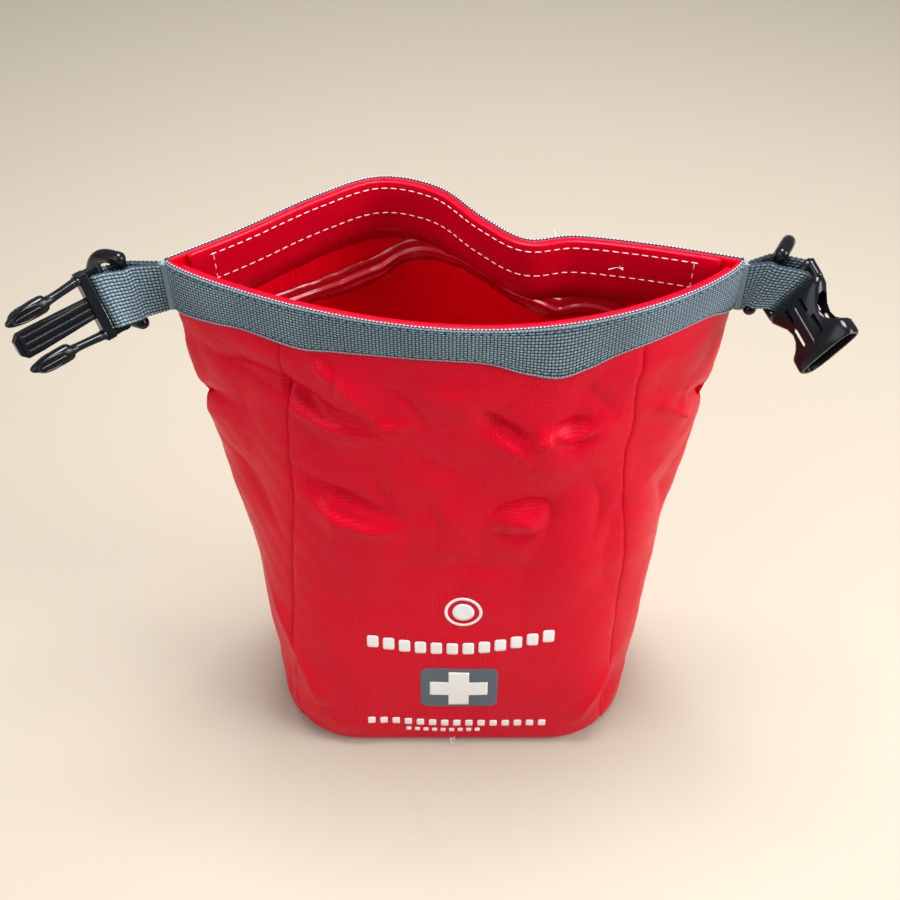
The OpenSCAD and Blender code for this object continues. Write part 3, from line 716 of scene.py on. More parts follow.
def web_edge(a, b, width, pitch):
    """Scallops of the selvedge, as a share that pushes the edge rows out and back."""
    near = np.minimum(b, width - b)
    side = np.where(b > width / 2, 1, -1)
    return side * np.exp(-(near / 0.5) ** 2) * 0.22 * np.cos(2 * math.pi * a / pitch)


class BAG_OT_webbing(Operator):
    """Build the woven webbing round the outside of the mouth"""
    bl_idname = "bag.webbing"
    bl_label = "Mouth webbing"

    def execute(self, context):
        tube = Tube(settings()[0])
        pitch = settings()[1].weave_pitch / MM
        for name, start in (("front_webbing", 0), ("back_webbing", tube.half)):
            # four samples to a yarn, so that every yarn comes out alike
            us = (start + np.arange(0, tube.half + pitch / 4, pitch / 4))[None, :]
            bs = np.arange(0, tube.web_w + pitch / 8, pitch / 4)[:, None]
            a, b = us - start + 0 * bs, bs + 0 * us
            high = weave(a, b, pitch)
            zz = web_height(tube, us + 0 * bs, b, start) + web_edge(a, b, tube.web_w, pitch)
            # sewn edges hug the cloth and the middle stands a little proud
            crown = 0.22 * np.sin(math.pi * b / tube.web_w)
            rows = np.exp(-((b - 2.0) / 0.6) ** 2) + np.exp(-((b - tube.web_w + 2.0) / 0.6) ** 2)
            outer = tube.skin(us + 0 * bs, zz, 0.85 + 0.32 * high + crown - 0.22 * rows)
            inner = tube.skin(us + 0 * bs, zz, 0.06)
            edge = np.minimum(b, tube.web_w - b)
            # colour value for the webbing material: the weave's low gaps and the grooves along the stitched
            # rows get painted shade, and the selvedge comes out paler
            weave_tone_and_painted_shade = np.clip(high + 0.35 * np.exp(-(edge / 0.6) ** 2) - 0.25 * rows, 0, 1.2)
            mesh = sheet_mesh(name, outer, inner, np.stack([a, b], -1), weave_tone_and_painted_shade)
            finish_piece(name + "_weave", mesh, [material("webbing")] * 2, "bag", [name])
        return {"FINISHED"}


# Height of the welded bead inside the back wall, by distance round the tube
BEAD = [(238, 196), (252, 197), (262, 200.5), (272, 202.5), (282, 200.5), (289, 204.5), (297, 208.5),
        (311, 209), (325, 208), (336, 205), (350, 200.5), (365, 192.5), (384, 191), (404, 193), (424, 196)]
FRONT_BEAD = [(16, 195), (60, 196), (110, 195), (160, 196), (205, 195)]


class BAG_OT_hem(Operator):
    """Build the folded hem, its stiffeners, the seam tape and its welded bead"""
    bl_idname = "bag.hem"
    bl_label = "Hem and seam tape"

    def execute(self, context):
        tube = Tube(settings()[0])
        for side, start in (("front", 0), ("back", tube.half)):
            us = spaced(start + 7, start + tube.half - 7, 1.1)
            top = tube.h
            inner, outer = -2.45, 0.1
            middle, reach = (inner + outer) / 2, (outer - inner) / 2
            over = [(middle + reach * math.cos(t), top - 0.5 + 0.55 * math.sin(t))
                    for t in np.linspace(0, math.pi, 9)]
            lining = [(inner - 0.1, top - 6), (inner - 0.05, top - 12), (inner - 0.12, top - 18),
                      (inner, top - 25)]
            back = [(inner + 0.7, top - 25), (inner + 0.75, top - 14), (inner + 0.8, top - 1.8),
                    (outer - 0.75, top - 1.4)]
            mesh = sweep_mesh(side + "_hem", tube, us, over + lining + back)
            finish_piece(side + "_hem", mesh, [material("hem")], "bag", [side + "_facing"])
            strip = [(-0.9, 212.9), (-0.9, 228.7), (-1.5, 228.7), (-1.5, 212.9)]
            mesh = sweep_mesh(side + "_strip", tube, spaced(start + 17, start + tube.half - 17, 2.2), strip)
            finish_piece(side + "_strip", mesh, [material("stiffener")], "bag",
                         [side + "_stiffener"], False)
        self.tape(tube, "back", BEAD)
        self.tape(tube, "front", FRONT_BEAD)
        return {"FINISHED"}

    @staticmethod
    def tape(tube, side, points):
        """Seam tape that follows the bead, with the bead and two faint welded ridges raised on it; the
        bead's pale pink tint is painted sheen.
        """
        line = along(points)
        us = spaced(line[0, 0], line[-1, 0], 0.9)
        mid = np.interp(us, line[:, 0], line[:, 1])
        across = [(-5.2, -1.1), (-5.2, -1.45), (-3.4, -1.55), (-3.0, -1.9), (-2.6, -1.55), (-1.0, -1.6),
                  (-0.75, -2.1), (-0.4, -2.45), (0.0, -2.6), (0.4, -2.45), (0.75, -2.1), (1.0, -1.6),
                  (2.7, -1.55), (3.1, -1.85), (3.5, -1.55), (5.2, -1.45), (5.2, -1.1), (2.6, -1.1),
                  (0, -1.1), (-2.6, -1.1)]
        dz = np.array([p[0] for p in across])
        off = np.array([p[1] for p in across])
        wide = 1 + 0.12 * wave_noise(us, 0 * us, 14, 21, tube.girth)
        zz = mid[:, None] + dz[None, :] * wide[:, None]
        points3 = tube.skin(us[:, None] + 0 * zz, zz, off[None, :] + 0 * zz)
        rows, cols = zz.shape
        faces = []
        for i in range(rows - 1):
            for j in range(cols):
                k = (j + 1) % cols
                faces.append((i * cols + j, i * cols + k, (i + 1) * cols + k, (i + 1) * cols + j))
        faces += [tuple(range(cols))[::-1], tuple(range((rows - 1) * cols, rows * cols))]
        mesh = bpy.data.meshes.new(side + "_tape")
        mesh.from_pydata((points3.reshape(-1, 3) * MM).tolist(), [], faces)
        outwards(mesh)
        # the bead faces take the welded bead's material, whose pale pink tint is painted sheen
        bead_and_sheen_faces = [5 <= (k % cols) <= 10 and k < (rows - 1) * cols for k in range(len(mesh.polygons))]
        mesh.polygons.foreach_set("material_index", np.array(bead_and_sheen_faces, np.int32))
        finish_piece(side + "_tape", mesh, [material("tape"), material("weld_and_sheen")], "bag",
                     [side + "_seam_tape"])


# ---------- stitches ----------

def stitch_tree(thread):
    """Geometry Nodes that lay thread stitches along rows: each row is a chain of points."""
    tree = bpy.data.node_groups.new("stitches", "GeometryNodeTree")
    tree.is_modifier = True
    face = tree.interface
    face.new_socket("Geometry", in_out="INPUT", socket_type="NodeSocketGeometry")
    sockets = {}
    for key, default in (("Pitch", 0.0033), ("Length", 0.0025), ("Thickness", 0.0005)):
        made = face.new_socket(key, in_out="INPUT", socket_type="NodeSocketFloat")
        made.default_value = default
        sockets[key] = made.identifier
    face.new_socket("Geometry", in_out="OUTPUT", socket_type="NodeSocketGeometry")
    source = add(tree, "NodeGroupInput")
    curve = add(tree, "GeometryNodeMeshToCurve", {"Mesh": source.outputs["Geometry"]})
    points = add(tree, "GeometryNodeResampleCurve", {"Curve": curve.outputs["Curve"],
                                                     "Length": source.outputs["Pitch"]}, mode="LENGTH")
    ball = add(tree, "GeometryNodeMeshIcoSphere", {"Radius": 0.5, "Subdivisions": 2})
    long, thick = source.outputs["Length"], source.outputs["Thickness"]
    size = add(tree, "ShaderNodeCombineXYZ", {"X": long, "Y": thick, "Z": thick}).outputs["Vector"]
    shape = add(tree, "GeometryNodeTransform", {"Geometry": ball.outputs["Mesh"], "Scale": size})
    turned = None
    for name, axis in (("along", "X"), ("out", "Z")):
        vector = add(tree, "GeometryNodeInputNamedAttribute", {"Name": name}, data_type="FLOAT_VECTOR")
        values = {"Vector": vector.outputs["Attribute"]}
        if turned is not None:
            values["Rotation"] = turned
        turned = add(tree, "FunctionNodeAlignRotationToVector", values, axis=axis,
                     pivot_axis="X" if axis == "Z" else "AUTO").outputs["Rotation"]
    values = {"Points": points.outputs["Curve"], "Instance": shape.outputs["Geometry"], "Rotation": turned}
    placed = add(tree, "GeometryNodeInstanceOnPoints", values)
    real = add(tree, "GeometryNodeRealizeInstances", {"Geometry": placed.outputs["Instances"]})
    values = {"Geometry": real.outputs["Geometry"], "Material": thread}
    done = add(tree, "GeometryNodeSetMaterial", values)
    target = add(tree, "NodeGroupOutput")
    tree.links.new(done.outputs["Geometry"], target.inputs["Geometry"])
    return tree, sockets


def stitches(name, rows, thread, pitch, stitch, thick, body, slot):
    """Rows of (points, along, out) in millimetres become one mesh of stitches."""
    tree, sockets = stitch_tree(material(thread))
    points = np.vstack([r[0] for r in rows]) * MM
    edges, first = [], 0
    for r in rows:
        edges += [(first + k, first + k + 1) for k in range(len(r[0]) - 1)]
        first += len(r[0])
    guide = bpy.data.meshes.new(name)
    guide.from_pydata(points.tolist(), edges, [])
    add_attribute(guide, "along", np.vstack([r[1] for r in rows]), "FLOAT_VECTOR")
    add_attribute(guide, "out", np.vstack([r[2] for r in rows]), "FLOAT_VECTOR")
    holder = bpy.data.objects.new(name + "_guide", guide)
    bpy.context.scene.collection.objects.link(holder)
    modifier = holder.modifiers.new("stitches", "NODES")
    modifier.node_group = tree
    for key, value in (("Pitch", pitch), ("Length", stitch), ("Thickness", thick)):
        modifier[sockets[key]] = value * MM
    bpy.context.view_layer.update()
    graph = bpy.context.evaluated_depsgraph_get()
    mesh = bpy.data.meshes.new_from_object(holder.evaluated_get(graph))
    holder.modifiers.clear()
    bpy.data.objects.remove(holder)
    mesh.name = name
    piece = bpy.data.objects.new(name, mesh)
    bpy.context.scene.collection.objects.link(piece)
    mesh.shade_smooth()
    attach(piece, body)
    return piece


def row_on(tube, us, zs, off, inward=False):
    """A row of stitches on the cloth: its points, direction and outward side."""
    us, zs = np.broadcast_arrays(np.asarray(us, float), np.asarray(zs, float))
    points = tube.skin(us, zs, off)
    step = np.gradient(points, axis=0)
    step /= np.linalg.norm(step, axis=1)[:, None]
    out = tube.skin(us, zs, off + 1.0) - points
    return points, step, -out if inward else out


# Where the hem's rows end short of the side folds, and the hem's inner face behind the cloth's middle
HEM_END = 15.5
HEM_FACE = -2.62
# Length and thickness of a stitch, after its pitch where the look does not set one, in millimetres
HEM_STITCH = (2.45, 0.34)
EDGE_LOOP = (0.8, 0.42)
WEBBING_STITCH = (2.9, 2.2, 0.36)
TACK_STITCH = (0.52, 1.5, 0.5)


class BAG_OT_stitching(Operator):
    """Sew the hem, the webbing and the two corner tacks"""
    bl_idname = "bag.stitching"
    bl_label = "Stitching"

    def execute(self, context):
        sizes, cloth, _ = settings()
        tube = Tube(sizes)
        rows = []
        for start in (0, tube.half):
            left, right = start + HEM_END, start + tube.half - HEM_END
            us = spaced(left, right, 1.0)
            for z in (tube.h - 2.6, tube.h - 13.2):
                rows.append(row_on(tube, us, np.full(len(us), z), HEM_FACE, True))
            for u in (left, right):
                zs = spaced(tube.h - 4.2, tube.h - 12.4, 0.8)
                rows.append(row_on(tube, np.full(len(zs), u), zs, HEM_FACE, True))
        stitches("hem_stitches", rows, "thread", cloth.stitch_pitch / MM, *HEM_STITCH, "bag", "hem_fabric")
        rows = []
        for start in (0, tube.half):
            us = spaced(start + 1, start + tube.half - 1, 1.0)
            for b in (2.0, tube.web_w - 2.0):
                rows.append(row_on(tube, us, web_height(tube, us, b, start), 1.05))
        stitches("webbing_stitches", rows, "grey_thread", *WEBBING_STITCH, "bag", "webbing")
        rows = []
        for start in (0, tube.half):
            us = spaced(start + 1, start + tube.half - 1, 1.0)
            rows.append(row_on(tube, us, web_height(tube, us, tube.web_w + 0.15, start), 0.45))
        stitches("selvedge", rows, "fringe", cloth.weave_pitch / MM, *EDGE_LOOP, "bag", "webbing")
        self.tacks()
        self.tufts(tube)
        return {"FINISHED"}

    @staticmethod
    def tacks():
        """Dense bar tacks that close the mouth's two corners and hold the loops."""
        for side, sign, node in (("left", -1, "left_corner_tack"), ("right", 1, "right_corner_tack")):
            low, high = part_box(node)
            x = sign * (abs(low.x + high.x) / 2 / MM)
            zs = spaced(low.z / MM + 0.3, high.z / MM - 0.3, 0.5)
            rows = []
            for face in (-1, 1):
                for dx in (-0.75, 0.75):
                    wobble = 0.12 * np.sin(zs * 9.1 + dx)
                    points = np.stack([x + dx + wobble, 0 * zs + face * 0.98, zs], -1)
                    rows.append((points, np.tile([0.96, 0, 0.28 * face], (len(zs), 1)),
                                 np.tile([0.0, face, 0.0], (len(zs), 1))))
            stitches(side + "_tack_stitches", rows, "grey_thread", *TACK_STITCH, "bag", "webbing")

    @staticmethod
    def tufts(tube):
        """Cut thread ends left on the hem."""
        rng = np.random.default_rng(14)
        curves = []
        for u, z, off in ((283.5, tube.h - 1.0, 1.6), (262, tube.h - 9, -2.9), (110, 4.0, 0.6)):
            for _ in range(5):
                start = tube.skin(u + rng.uniform(-1, 1), z, off)
                heading = rng.normal(size=3) * [1, 1, 0.5]
                bend = rng.normal(size=3)
                t = np.linspace(0, 1, 7)[:, None]
                reach = rng.uniform(1.5, 3.2)
                curves.append(start + reach * (t * heading / 2 + 0.5 * np.sin(2 * t) * bend / 2))
        mesh = tube_mesh("thread_ends", curves, 0.11, 5)
        finish_piece("thread_ends", mesh, [material("thread")], "bag")


def tube_mesh(name, lines, radius, sides=10, caps=True):
    """Closed round tubes of one radius, or of a radius for each point, along lines in millimetres."""
    points, faces = [], []
    for line in lines:
        line = np.asarray(line, float)
        radii = np.broadcast_to(radius, len(line))
        step = np.gradient(line, axis=0)
        step /= np.linalg.norm(step, axis=1)[:, None]
        up = np.array([0.31, 0.17, 0.93])
        first = len(points)
        for p, d, r in zip(line, step, radii):
            up = up - (up @ d) * d
            up /= np.linalg.norm(up)
            other = np.cross(d, up)
            for a in np.arange(sides) * 2 * math.pi / sides:
                points.append(p + r * (math.cos(a) * up + math.sin(a) * other))
        for k in range(len(line) - 1):
            for j in range(sides):
                a, b = first + k * sides + j, first + k * sides + (j + 1) % sides
                faces.append((a, b, b + sides, a + sides))
        if caps:
            faces.append(tuple(range(first, first + sides))[::-1])
            faces.append(tuple(range(first + (len(line) - 1) * sides, first + len(line) * sides)))
    mesh = bpy.data.meshes.new(name)
    mesh.from_pydata((np.array(points) * MM).tolist(), [], faces)
    outwards(mesh)
    return mesh


# ---------- print ----------

def pill(cu, cz, w, h, corner):
    """Outline of a rounded rectangle round (cu, cz)."""
    corner = min(corner, w / 2, h / 2)
    out = []
    for k, (sx, sz) in enumerate(((1, 1), (-1, 1), (-1, -1), (1, -1))):
        for t in np.linspace(0, math.pi / 2, 7):
            a = k * math.pi / 2 + t
            out.append((cu + sx * (w / 2 - corner) + corner * math.cos(a),
                        cz + sz * (h / 2 - corner) + corner * math.sin(a)))
    return np.array(out), (cu, cz)


def cross_outline(cu, cz, reach_u, reach_z, half_u, half_z):
    steps = [(half_u, half_z), (half_u, reach_z), (-half_u, reach_z), (-half_u, half_z), (-reach_u, half_z),
             (-reach_u, -half_z), (-half_u, -half_z), (-half_u, -reach_z), (half_u, -reach_z),
             (half_u, -half_z), (reach_u, -half_z), (reach_u, half_z)]
    return np.array([(cu + a, cz + b) for a, b in steps]), (cu, cz)


def fill_in(points, step):
    """More points along a closed outline, so that it drapes."""
    out = []
    for a, b in zip(points, np.roll(points, -1, 0)):
        n = max(1, int(np.hypot(*(b - a)) / step))
        out += [a + (b - a) * k / n for k in range(n)]
    return np.array(out)


def drape(name, tube, shapes, off, thick, finish):
    """Flat shapes printed on the front: star-shaped outlines, or rings given as (outline, centre, hole)."""
    points, faces = [], []
    for shape in shapes:
        outline, centre = fill_in(shape[0], 0.9), np.array(shape[1])
        hole = shape[2] if len(shape) > 2 else 0.0
        reach = np.hypot(*(outline - centre).T).max()
        rings = np.linspace(1, max(hole, 0.03), max(3, int(reach * (1 - hole) / 1.1) + 1))
        flat = np.array([centre + (outline - centre) * r for r in rings])
        n, count = len(outline), len(rings)
        first = len(points)
        for level in (off + thick, off):
            points += list(tube.skin(flat[..., 0], flat[..., 1], level).reshape(-1, 3))
        upper, lower = first, first + n * count
        for i in range(count - 1):
            for j in range(n):
                k = (j + 1) % n
                a, b, c, d = i * n + j, i * n + k, (i + 1) * n + k, (i + 1) * n + j
                faces.append((upper + a, upper + b, upper + c, upper + d))
                faces.append((lower + d, lower + c, lower + b, lower + a))
        last = (count - 1) * n
        for j in range(n):
            k = (j + 1) % n
            faces.append((upper + k, upper + j, lower + j, lower + k))
            if hole:
                faces.append((upper + last + j, upper + last + k, lower + last + k, lower + last + j))
        if not hole:
            faces.append(tuple(upper + last + j for j in range(n)))
            faces.append(tuple(lower + last + j for j in range(n))[::-1])
    mesh = bpy.data.meshes.new(name)
    mesh.from_pydata((np.array(points) * MM).tolist(), [], faces)
    outwards(mesh)
    finish_piece(name, mesh, [material(finish)], "bag")


class BAG_OT_print(Operator):
    """Print a plain ring, plain bars and a cross badge on the front"""
    bl_idname = "bag.print"
    bl_label = "Front print"

    def execute(self, context):
        tube = Tube(settings()[0])
        sag = 3.5
        white = [(np.array([(114 + 7.6 * math.cos(a), 92 + 8.2 * math.sin(a))
                            for a in np.linspace(0, 2 * math.pi, 49)[:-1]]), (114, 92), 0.84)]
        white.append((np.array([(114 + 4.4 * math.cos(a), 92 + 4.8 * math.sin(a))
                                for a in np.linspace(0, 2 * math.pi, 33)[:-1]]), (114, 92)))
        for k in range(12):
            u = 77 + 72 * k / 11
            z = 72.5 - sag * math.sin(math.pi * k / 11) + 4.0 * (k / 11) ** 2
            white.append(pill(u, z, 4.7, 7.0, 1.1))
        for k in range(15):
            u = 75 + 74 * k / 14
            white.append(pill(u, 19.0 - 1.6 * math.sin(math.pi * k / 14) - 2.5 * k / 14, 3.2, 4.6, 0.8))
        for k in range(9):
            u = 91 + 30 * k / 8
            white.append(pill(u, 11.8 - 0.6 * math.sin(math.pi * k / 8) - 1.2 * k / 8, 2.2, 2.6, 0.6))
        drape("front_print", tube, white, 0.02, 0.1, "print")
        drape("badge_field", tube, [pill(112.8, 43, 32.5, 27.5, 3.6)], 0.02, 0.1, "badge")
        drape("badge_cross", tube, [cross_outline(112.6, 42.6, 12.2, 11.8, 4.3, 4.6)], 0.1, 0.12, "print")
        return {"FINISHED"}


# ---------- straps ----------

def joint(name):
    """Place in millimetres and unit axis of one of the frame's joints."""
    found = next(j for j in frame["joints"] if j["name"] == name)
    axis = np.array(found["axis"], float)
    return np.array(found["pos_m"], float) / MM, axis / np.linalg.norm(axis)


def unit(v):
    return v / np.linalg.norm(v)


def strap_line(tack, ring, ring_axis, bar, axis, out, wrap, gap):
    """Middle line and width directions of a strap from the mouth corner round the buckle's bar and back."""
    up = np.array([0.0, 0.0, 1.0])

    def across(a):
        c = unit(np.cross(a, out))
        return c if c[1] < 0 else -c

    def away(a):
        return unit(out - (out @ a) * a)
    c0, cr, c = across(up), across(ring_axis), across(axis)
    er, e = away(ring_axis), away(axis)
    start = tack + gap * out
    points, widths = [start + 0.75 * c0], [up]
    for a in np.radians([45, 0]):
        points.append(ring + wrap * (math.cos(a) * cr - math.sin(a) * er))
        widths.append(ring_axis)
    for a in np.radians(np.linspace(90, -90, 13)):
        points.append(bar + wrap * (math.sin(a) * c + math.cos(a) * e))
        widths.append(axis)
    for a in np.radians([0, 45]):
        points.append(ring - wrap * (math.cos(a) * cr + math.sin(a) * er))
        widths.append(ring_axis)
    points.append(start - 0.75 * c0)
    widths.append(up)
    return np.array(points), np.array(widths)


def resample(points, others, step):
    """Even steps along a line of points, with other values carried along."""
    d = np.r_[0, np.cumsum(np.linalg.norm(np.diff(points, axis=0), axis=1))]
    t = spaced(0, d[-1], step)
    pick = [np.stack([np.interp(t, d, v[:, k]) for k in range(v.shape[1])], -1) for v in (points, others)]
    return t, pick[0], pick[1]


def soften(values, rounds):
    """Rounds the corners of a sampled line and keeps its two ends."""
    for _ in range(rounds):
        values[1:-1] = 0.25 * values[:-2] + 0.5 * values[1:-1] + 0.25 * values[2:]
    return values


# Distance from a bar's middle to the strap's middle, and from the tack to the strap's ends, in millimetres
WRAP = 3.1
TACK_GAP = 0.7
# How far from the tack the strap has stopped following the bag, in millimetres
BEND_REACH = 4.0


class BAG_OT_straps(Operator):
    """Build the two webbing loops that hold the rings and the buckle"""
    bl_idname = "bag.straps"
    bl_label = "Strap loops"

    def execute(self, context):
        sizes, cloth, _ = settings()
        wide, thick, pitch = sizes.web_w / MM, sizes.web_t / MM, cloth.weave_pitch / MM
        sides = (("left", 206, "male_swing"), ("right", -10, "female_swing"))
        for side, turn, bar in sides:
            out = np.array([math.cos(math.radians(turn)), math.sin(math.radians(turn)), 0.0])
            tack = joint(side + "_loop_swing")[0]
            ring_at, ring_axis = joint(side + "_ring_swing")
            bar_at, bar_axis = joint(bar)
            line, widths = strap_line(tack, ring_at, ring_axis, bar_at, bar_axis, out, WRAP, TACK_GAP)
            t, line, widths = resample(line, widths, pitch / 4)
            line = soften(line, 5)
            widths = soften(widths, 12)
            widths /= np.linalg.norm(widths, axis=1)[:, None]
            along_line = np.gradient(line, axis=0)
            face = np.cross(along_line, widths)
            face /= np.linalg.norm(face, axis=1)[:, None]
            if face[0] @ (line[0] - line[-1]) < 0:
                face = -face
            b = np.arange(0, wide + pitch / 8, pitch / 4)
            a_grid, b_grid = np.meshgrid(t, b)
            high = weave(a_grid, b_grid, pitch)
            shift = (b_grid - wide / 2 + web_edge(a_grid, b_grid, wide, pitch))[..., None]
            middle = line[None, :, :] + shift * widths[None, :, :]
            rise = (thick / 2 - 0.2 + 0.28 * high)[..., None] * face[None, :, :]
            places = np.stack([a_grid, b_grid], -1)
            # the weave heights also drive the webbing material's painted shade in the gaps between the yarns
            mesh = sheet_mesh(side + "_strap", middle + rise, middle - rise, places, high)
            outwards(mesh)
            piece = finish_piece(side + "_strap_weave", mesh, [material("webbing")] * 2, None)
            free = tack + BEND_REACH * out
            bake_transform(piece, "bag", side + "_strap", start=tuple(tack * MM), end=tuple(free * MM))
            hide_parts(side + "_loop")
        return {"FINISHED"}


# ---------- hardware ----------

def cad_copy(node, finish, bevel, angle=32):
    """A merged copy of a CAD node's mesh with its edges rounded; it stands for the node."""
    source = frame["nodes"][node]
    mesh = source.data.copy()
    mesh.materials.clear()
    for layer in list(mesh.attributes):
        if layer.name == "custom_normal":
            mesh.attributes.remove(layer)
    work = bmesh.new()
    work.from_mesh(mesh)
    bmesh.ops.remove_doubles(work, verts=work.verts, dist=2e-6)
    bmesh.ops.dissolve_limit(work, angle_limit=math.radians(2), verts=work.verts, edges=work.edges)
    bmesh.ops.recalc_face_normals(work, faces=work.faces)
    work.to_mesh(mesh)
    work.free()
    mesh.name = node + "_made"
    piece = finish_piece(node + "_made", mesh, [material(finish)], source["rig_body"], [node])
    if bevel:
        rounder = piece.modifiers.new("edges", "BEVEL")
        rounder.width = bevel * MM
        rounder.segments = 3
        rounder.limit_method = "ANGLE"
        rounder.angle_limit = math.radians(angle)
        rounder.use_clamp_overlap = True
    mesh.set_sharp_from_angle(angle=math.radians(40))
    return piece


def buckle_frame(hinge, node):
    """Bar centre, direction of the piece, thickness direction and bar direction of a buckle half."""
    origin, z = joint(hinge)
    points = np.array([v.co for v in frame["nodes"][node].data.vertices]) / MM
    middle = (points.max(0) + points.min(0)) / 2 - origin
    x = unit(middle - (middle @ z) * z)
    return origin, x, np.cross(z, x), z


def loft(place, stations, power):
    """A closed solid through rounded sections: (x, half width, half thickness, middle if not 0)."""
    sides = 56
    points, faces = [], []
    for px, half_z, half_y, *middle in stations:
        lift = middle[0] if middle else 0
        for t in np.arange(sides) * 2 * math.pi / sides:
            c, d = math.cos(t), math.sin(t)
            points.append(place(px, half_y * math.copysign(abs(d) ** (2 / power), d),
                                lift + half_z * math.copysign(abs(c) ** (2 / power), c)))
    for k in range(len(stations) - 1):
        for j in range(sides):
            a, b = k * sides + j, k * sides + (j + 1) % sides
            faces.append((a, b, b + sides, a + sides))
    faces += [tuple(range(sides))[::-1], tuple(range((len(stations) - 1) * sides, len(stations) * sides))]
    return helper_object(points, faces)


def block(place, xs, ys, zs):
    """A box between two places on each of a buckle half's directions."""
    points = [place(px, py, pz) for px in xs for py in ys for pz in zs]
    faces = [(0, 1, 3, 2), (4, 6, 7, 5), (0, 4, 5, 1), (2, 3, 7, 6), (0, 2, 6, 4), (1, 5, 7, 3)]
    return helper_object(points, faces)


def helper_object(points, faces):
    mesh = bpy.data.meshes.new("helper")
    mesh.from_pydata((np.array(points) * MM).tolist(), [], faces)
    outwards(mesh)
    made = bpy.data.objects.new("helper", mesh)
    bpy.context.scene.collection.objects.link(made)
    return made


